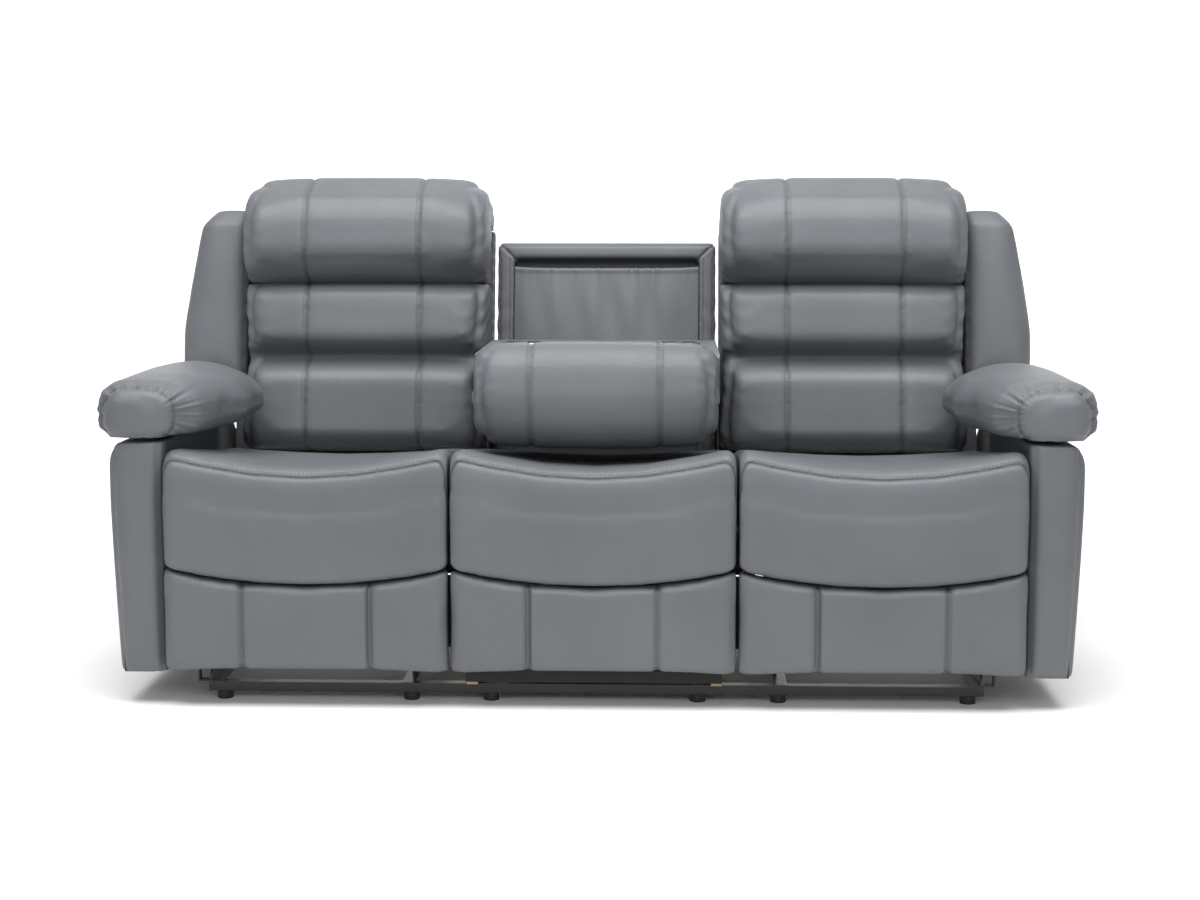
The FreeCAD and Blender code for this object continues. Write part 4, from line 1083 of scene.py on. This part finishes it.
def roll_held(co):
    board_end = HINGE[0] - 0.480
    inside = (np.abs(co[:, 2] - (HINGE[1] + 0.061)) < 0.011) & (co[:, 1] > board_end - 0.004)
    back = co[:, 1] > HINGE[0] - 0.377
    return inside | back


def console_stitches(cover, name, centre, low, high):
    surface = surface_of(cover)
    lines = []
    for x in stitch_rows(0.0, CONSOLE_SEAM):
        middle = np.array((x, *centre))
        angles = np.radians(np.linspace(low, high, 150))
        ways = [np.array((0.0, -math.cos(angle), math.sin(angle))) for angle in angles]
        lines.append(trace(surface, [middle + way * 0.4 for way in ways], [-way for way in ways]))
    stitches(name, lines, "console", thread)


console_low = make_console_cover("console_lumbar_cover", "console_lumbar_cushion",
                                 lambda co: co[:, 2] > HINGE[1] + 0.0535, 0.014, 21)
console_roll = make_console_cover("console_head_cover", "console_head_cushion", roll_held, 0.018, 22)
finish_piece(console_low, "console", grey, nodes=("console_lumbar_cushion",))
finish_piece(console_roll, "console", grey, nodes=("console_head_cushion",))
console_stitches(console_roll, "console_head_stitches", (HINGE[0] - 0.44, HINGE[1] + 0.06), -95, 130)


# %% Bands over the board's edges
def console_band(sign, name):
    """Leather that wraps the edge of the console's board between the cushions and the tray."""
    low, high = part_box("console_board")
    x = sign * (high[0] + 0.0003)
    outer = x + sign * 0.0012
    count = 30
    verts = [(side, y, z) for side in (x, outer)
             for y in np.linspace(low[1] + 0.004, high[1] - 0.004, count)
             for z in (low[2] - 0.003, high[2] + 0.002)]
    faces = []
    for i in range(count - 1):
        near, far = 2 * i, 2 * (i + count)
        faces += [(near, near + 2, near + 3, near + 1), (far + 1, far + 3, far + 2, far),
                  (near + 1, near + 3, far + 3, far + 1), (far, far + 2, near + 2, near)]
    last = 2 * (count - 1)
    faces += [(0, 1, 2 * count + 1, 2 * count), (last + 1, last, last + 2 * count, last + 2 * count + 1)]
    mesh = bpy.data.meshes.new(name)
    mesh.from_pydata(verts, [], faces)
    build = bmesh.new()
    build.from_mesh(mesh)
    bmesh.ops.recalc_face_normals(build, faces=build.faces)
    build.to_mesh(mesh)
    build.free()
    finish_piece(new_object(name, mesh), "console", grey)


console_band(1, "console_right_band")
console_band(-1, "console_left_band")


# %% [markdown]
# ## Recess
# Behind the folded console are padded cheeks with mitred upper corners, and between them a
# pouch with a gathered hem. The padding is thin, so smoothing is enough, and its seams are
# pressed along their lines. The pouch could be simulated with a shrinking hem. Its folds are
# sums of waves instead, because they stay the same in each run and are set by their pitch.

# %% Recess frame
RECESS_INNER = (0.218, 0.371)
RECESS_FRONT = -0.179


def to_recess(co):
    """x, n, t of every vertex, from the console's hinge."""
    n, t = back_coords(co, HINGE)
    return np.stack([co[:, 0], n, t], 1)


def press_line(obj, off, depth, spread, where):
    """A crease along the places where off(co) is zero, with painted shade in it."""
    co = get_co(obj)
    normals = get_normals(obj)
    near_line = np.exp(-(off(co) / spread) ** 2) * where(co)
    set_co(obj, co - normals * (depth * near_line)[:, None])
    paint_seam_shade(obj, 0.4 * near_line ** 2)


def mitre_off(co):
    place = to_recess(co)
    return ((np.abs(place[:, 0]) - RECESS_INNER[0]) - (place[:, 2] - RECESS_INNER[1])) / math.sqrt(2)


def at_mitre(co):
    place = to_recess(co)
    return (np.abs(place[:, 0]) > RECESS_INNER[0] - 0.004) & (place[:, 2] > RECESS_INNER[1] - 0.004)


def outside(co):
    """How far a point lies outside the recess's inner side."""
    return np.abs(co[:, 0]) - RECESS_INNER[0]


def at_cheek(co):
    place = to_recess(co)
    return (place[:, 1] > RECESS_FRONT - 0.012) & (outside(co) > 0) & (place[:, 2] < RECESS_INNER[1])


def make_recess():
    cover = copy_of_node("recess_frame", "recess_cover")
    remesh(cover, 0.0055)
    smooth(cover, 4)
    apply_modifier(cover, "SUBSURF", levels=1, render_levels=1)
    press_line(cover, mitre_off, 0.0035, 0.0032, at_mitre)
    for inset in (0.010, 0.032):
        press_line(cover, lambda co: outside(co) - inset, 0.0016, 0.0026, at_cheek)
    pucker(cover, lambda co: np.full(len(co), 0.010), lambda co: co[:, 2] + 0.6 * np.abs(co[:, 0]),
           0.0012, 0.03, 0.055, 41, where=lambda co: np.clip(outside(co) / 0.02, 0, 1))
    return shade_smooth(cover)


recess = make_recess()
finish_piece(recess, "frame", grey, nodes=("recess_frame",))
print("recess cover:", len(recess.data.vertices), "points")


# %% Pouch
def make_pouch():
    """A thin sheet with a gathered elastic hem and soft upright folds, closed at its foot."""
    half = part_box("recess_pouch")[1][0] - 0.0006
    front, top = -0.185, 0.352
    rows, columns = 90, 260
    xs = np.linspace(-half, half, columns + 1)
    ts = np.linspace(0.0, top, rows + 1)
    grid_x, grid_t = np.meshgrid(xs, ts)
    up = grid_t / top
    tight = 1 - np.abs(grid_x / half) ** 6
    gathers = waves(grid_x, 0.024, 5) * 0.0017 * np.exp(-(1 - up) / 0.07)
    folds = waves(grid_x + 0.03 * up, 0.085, 6) * 0.0030 * np.exp(-((up - 0.72) / 0.22) ** 2)
    belly = 0.004 * np.sin(math.pi * up)
    hem = 0.0022 * np.exp(-((top - grid_t - 0.006) / 0.005) ** 2)
    n = front + (gathers + folds) * tight + belly * tight + hem
    sag = 0.004 * tight * up ** 8
    verts = []
    for thickness in (0.0, -0.0016):
        for row in range(rows + 1):
            for column in range(columns + 1):
                t = grid_t[row, column] - sag[row, column]
                y, z = back_point(n[row, column] + thickness, t, HINGE)
                verts.append((grid_x[row, column], y, z))
    return shade_smooth(mesh_object("recess_pouch_sheet", verts, grid_faces(rows, columns)))


pouch = make_pouch()
finish_piece(pouch, "frame", grey, nodes=("recess_pouch",))
print("pouch:", len(pouch.data.vertices), "points")


# %% [markdown]
# ## Arms
# Each arm is an upholstered body with a pillow pad on top that overhangs it. The body's cover
# is stretched over wood, so it has round edges and a slight taper but isn't simulated. The
# pad is first shaped to fall in an arc towards the seat, then blown up, and small folds
# run back from the seam at its front.

# %% Arm bodies
ARM_TAPER = 0.015


def shape_arm(obj):
    """Round front edges, an outer side that draws in towards the floor, and a full front."""
    low, high = np.array(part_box("right_arm_body")[0]), np.array(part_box("right_arm_body")[1])
    round_corner(obj, 0, 1, (high[0] - 0.040, low[1] + 0.034), (0.040, 0.034), (1, -1))
    round_corner(obj, 0, 1, (low[0] + 0.022, low[1] + 0.022), (0.022, 0.022), (-1, -1))
    round_corner(obj, 0, 2, (high[0] - 0.034, high[2] - 0.050), (0.034, 0.050), (1, 1))
    round_corner(obj, 1, 2, (low[1] + 0.014, low[2] + 0.012), (0.014, 0.012), (-1, -1))
    co = get_co(obj)
    down = np.clip((0.42 - co[:, 2]) / (0.42 - low[2]), 0, 1)
    outward = np.clip((co[:, 0] - low[0]) / (high[0] - low[0]), 0, 1)
    co[:, 0] -= ARM_TAPER * down ** 1.3 * outward
    bulge = np.sin(math.pi * np.clip((co[:, 2] - low[2]) / (high[2] - low[2]), 0, 1)) ** 0.7
    across = np.sin(math.pi * outward) ** 0.8
    front = np.clip((low[1] + 0.05 - co[:, 1]) / 0.05, 0, 1)
    co[:, 1] -= 0.010 * bulge * across * front
    set_co(obj, co)


def make_arm_body():
    cover = copy_of_node("right_arm_body", "right_arm_cover")
    remesh(cover, 0.0055)
    shape_arm(cover)
    smooth(cover, 6)
    return shade_smooth(cover)


arm = make_arm_body()
for side in SIDES:
    cover = arm if side == "right" else mirror_image(arm, "left_arm_cover")
    finish_piece(cover, "frame", grey, nodes=(side + "_arm_body",))
print("arm cover:", len(arm.data.vertices), "points")


# %% Arm pads
PAD_DRAW_IN = 0.014
PAD_SEAM_IN = 0.030


def pad_held(co):
    return (co[:, 2] < 0.5345) & (co[:, 0] > 0.86) & (co[:, 0] < 0.962)


def shape_pad(obj):
    """The pad's top falls in an arc from the outer side to the low inner edge over the seat."""
    low, high = np.array(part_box("right_arm_pad")[0]), np.array(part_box("right_arm_pad")[1])
    co = get_co(obj)
    share = np.clip((0.945 - co[:, 0]) / (0.945 - low[0]), 0, 1)
    arc = np.sqrt(np.clip(1 - (share * 0.90) ** 2.2, 0, 1))
    base = low[2] + 0.012
    above = np.maximum(co[:, 2] - base, 0)
    co[:, 2] = np.where(co[:, 2] > base, base + above * arc, co[:, 2])
    co[:, 0] += PAD_DRAW_IN * share ** 2
    front = np.clip((low[1] + 0.10 - co[:, 1]) / 0.10, 0, 1)
    co[:, 2] -= np.maximum(co[:, 2] - base, 0) * 0.10 * front ** 2
    set_co(obj, co)
    round_corner(obj, 0, 1, (high[0] - 0.060, low[1] + 0.070), (0.060, 0.070), (1, -1))
    round_corner(obj, 0, 1, (low[0] + PAD_DRAW_IN + 0.060, low[1] + 0.070), (0.060, 0.070), (-1, -1))


def make_pad():
    source = copy_of_node("right_arm_pad", "pad_source")
    pad = soft_cover("right_pad_cover", source, "right_arm_pad", pad_held, cap=0.016, draw_in=0.005,
                     rounds=6, margin=(0.003, 0.003, 0.001), pressure=5.0, grow=0.01, shape=shape_pad,
                     inset=(PAD_DRAW_IN, 0.0, 0.0))
    seam_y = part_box("right_arm_pad")[0][1] + PAD_SEAM_IN
    crease(pad, 1, seam_y, 0.004)
    pucker(pad, lambda co: np.maximum(co[:, 1] - seam_y, 0) + 4 * np.maximum(seam_y - co[:, 1], 0),
           lambda co: np.arctan2(co[:, 2] - 0.59, (co[:, 0] - 0.87) * 0.6) * 0.09, 0.0040, 0.035, 0.030, 31)
    return pad


def pad_stitches(pad, name, sign):
    """A row of stitches behind the front seam, over the pad from side to side."""
    surface = surface_of(pad)
    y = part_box("right_arm_pad")[0][1] + PAD_SEAM_IN + 0.007
    middle = np.array((sign * 0.885, y, 0.56))
    angles = np.radians(np.linspace(-15, 195, 160))
    ways = [np.array((math.cos(angle), 0.0, math.sin(angle))) for angle in angles]
    hits = trace(surface, [middle + way * 0.4 for way in ways], [-way for way in ways])
    stitches(name, [hits], "frame", thread)


pad = make_pad()
for side, sign in SIDES.items():
    cover = pad if side == "right" else mirror_image(pad, "left_pad_cover")
    finish_piece(cover, "frame", grey, nodes=(side + "_arm_pad",))
    pad_stitches(cover, side + "_pad_stitches", sign)


# %% [markdown]
# ## Studio
# The photograph is a product picture on white. A floor that curves up into a wall has no
# visible corner, large soft lights give wide highlights and a faint shadow, and the camera
# stands where the photograph was taken from.

# %% Camera
def place_camera():
    camera = bpy.data.cameras.new("camera")
    camera.lens = 61.62
    camera.sensor_width = 36.0
    camera.clip_end = 100.0
    seen = new_object("camera", camera)
    seen.location = (0.150, -4.450, 1.000)
    seen.rotation_euler = (math.radians(90 - 6.86), 0.0, math.radians(1.95))
    scene.camera = seen


# %% Floor and lights
def make_sweep():
    """A floor that curves up into a wall behind the sofa."""
    bend_y, radius, steps = 4.2, 2.0, 16
    profile = [(-9.0, 0.0), (bend_y, 0.0)]
    for step in range(1, steps + 1):
        angle = math.pi / 2 * step / steps
        profile.append((bend_y + radius * math.sin(angle), radius - radius * math.cos(angle)))
    profile.append((bend_y + radius, 9.0))
    verts = [(x, y, z) for y, z in profile for x in (-14.0, 14.0)]
    faces = [(2 * i, 2 * i + 1, 2 * i + 3, 2 * i + 2) for i in range(len(profile) - 1)]
    sweep = shade_smooth(mesh_object("sweep", verts, faces))
    paper = material("sweep_paper", speckled_group("paper_fibre", 60.0, 0.004, (0.85, 0.95), 0.0001),
                     (0.93, 0.93, 0.93), specular=0.0)
    sweep.data.materials.append(paper)


def area_light(name, place, aim, size, power, tall=None):
    light = bpy.data.lights.new(name, "AREA")
    light.energy = power
    light.shape = "RECTANGLE"
    light.size = size
    light.size_y = tall or size
    obj = new_object(name, light)
    obj.location = place
    obj.rotation_euler = (Vector(aim) - Vector(place)).to_track_quat("-Z", "Y").to_euler()


def make_world():
    world = bpy.data.worlds.new("studio")
    scene.world = world
    world.use_nodes = True
    tree = world.node_tree
    background = tree.nodes["Background"]
    background.inputs["Color"].default_value = (1.0, 1.0, 1.0, 1)
    seen = add(tree, "ShaderNodeLightPath").outputs["Is Camera Ray"]
    tree.links.new(mapped(tree, seen, 0.0, 1.0, 0.42, 1.0), background.inputs["Strength"])


place_camera()
make_sweep()
make_world()
area_light("overhead", (0.0, -0.9, 3.2), (0.0, -0.1, 0.4), 4.5, 180.0, tall=2.4)
area_light("front", (0.0, -5.0, 2.6), (0.0, 0.0, 0.5), 4.0, 48.0, tall=2.0)
area_light("wall", (0.0, 2.2, 3.8), (0.0, 6.2, 2.2), 6.0, 300.0, tall=1.5)
print("camera", round(scene.camera.location.length, 2), "m from the sofa's middle")


# %% Colour view
scene.view_settings.view_transform = "Standard"
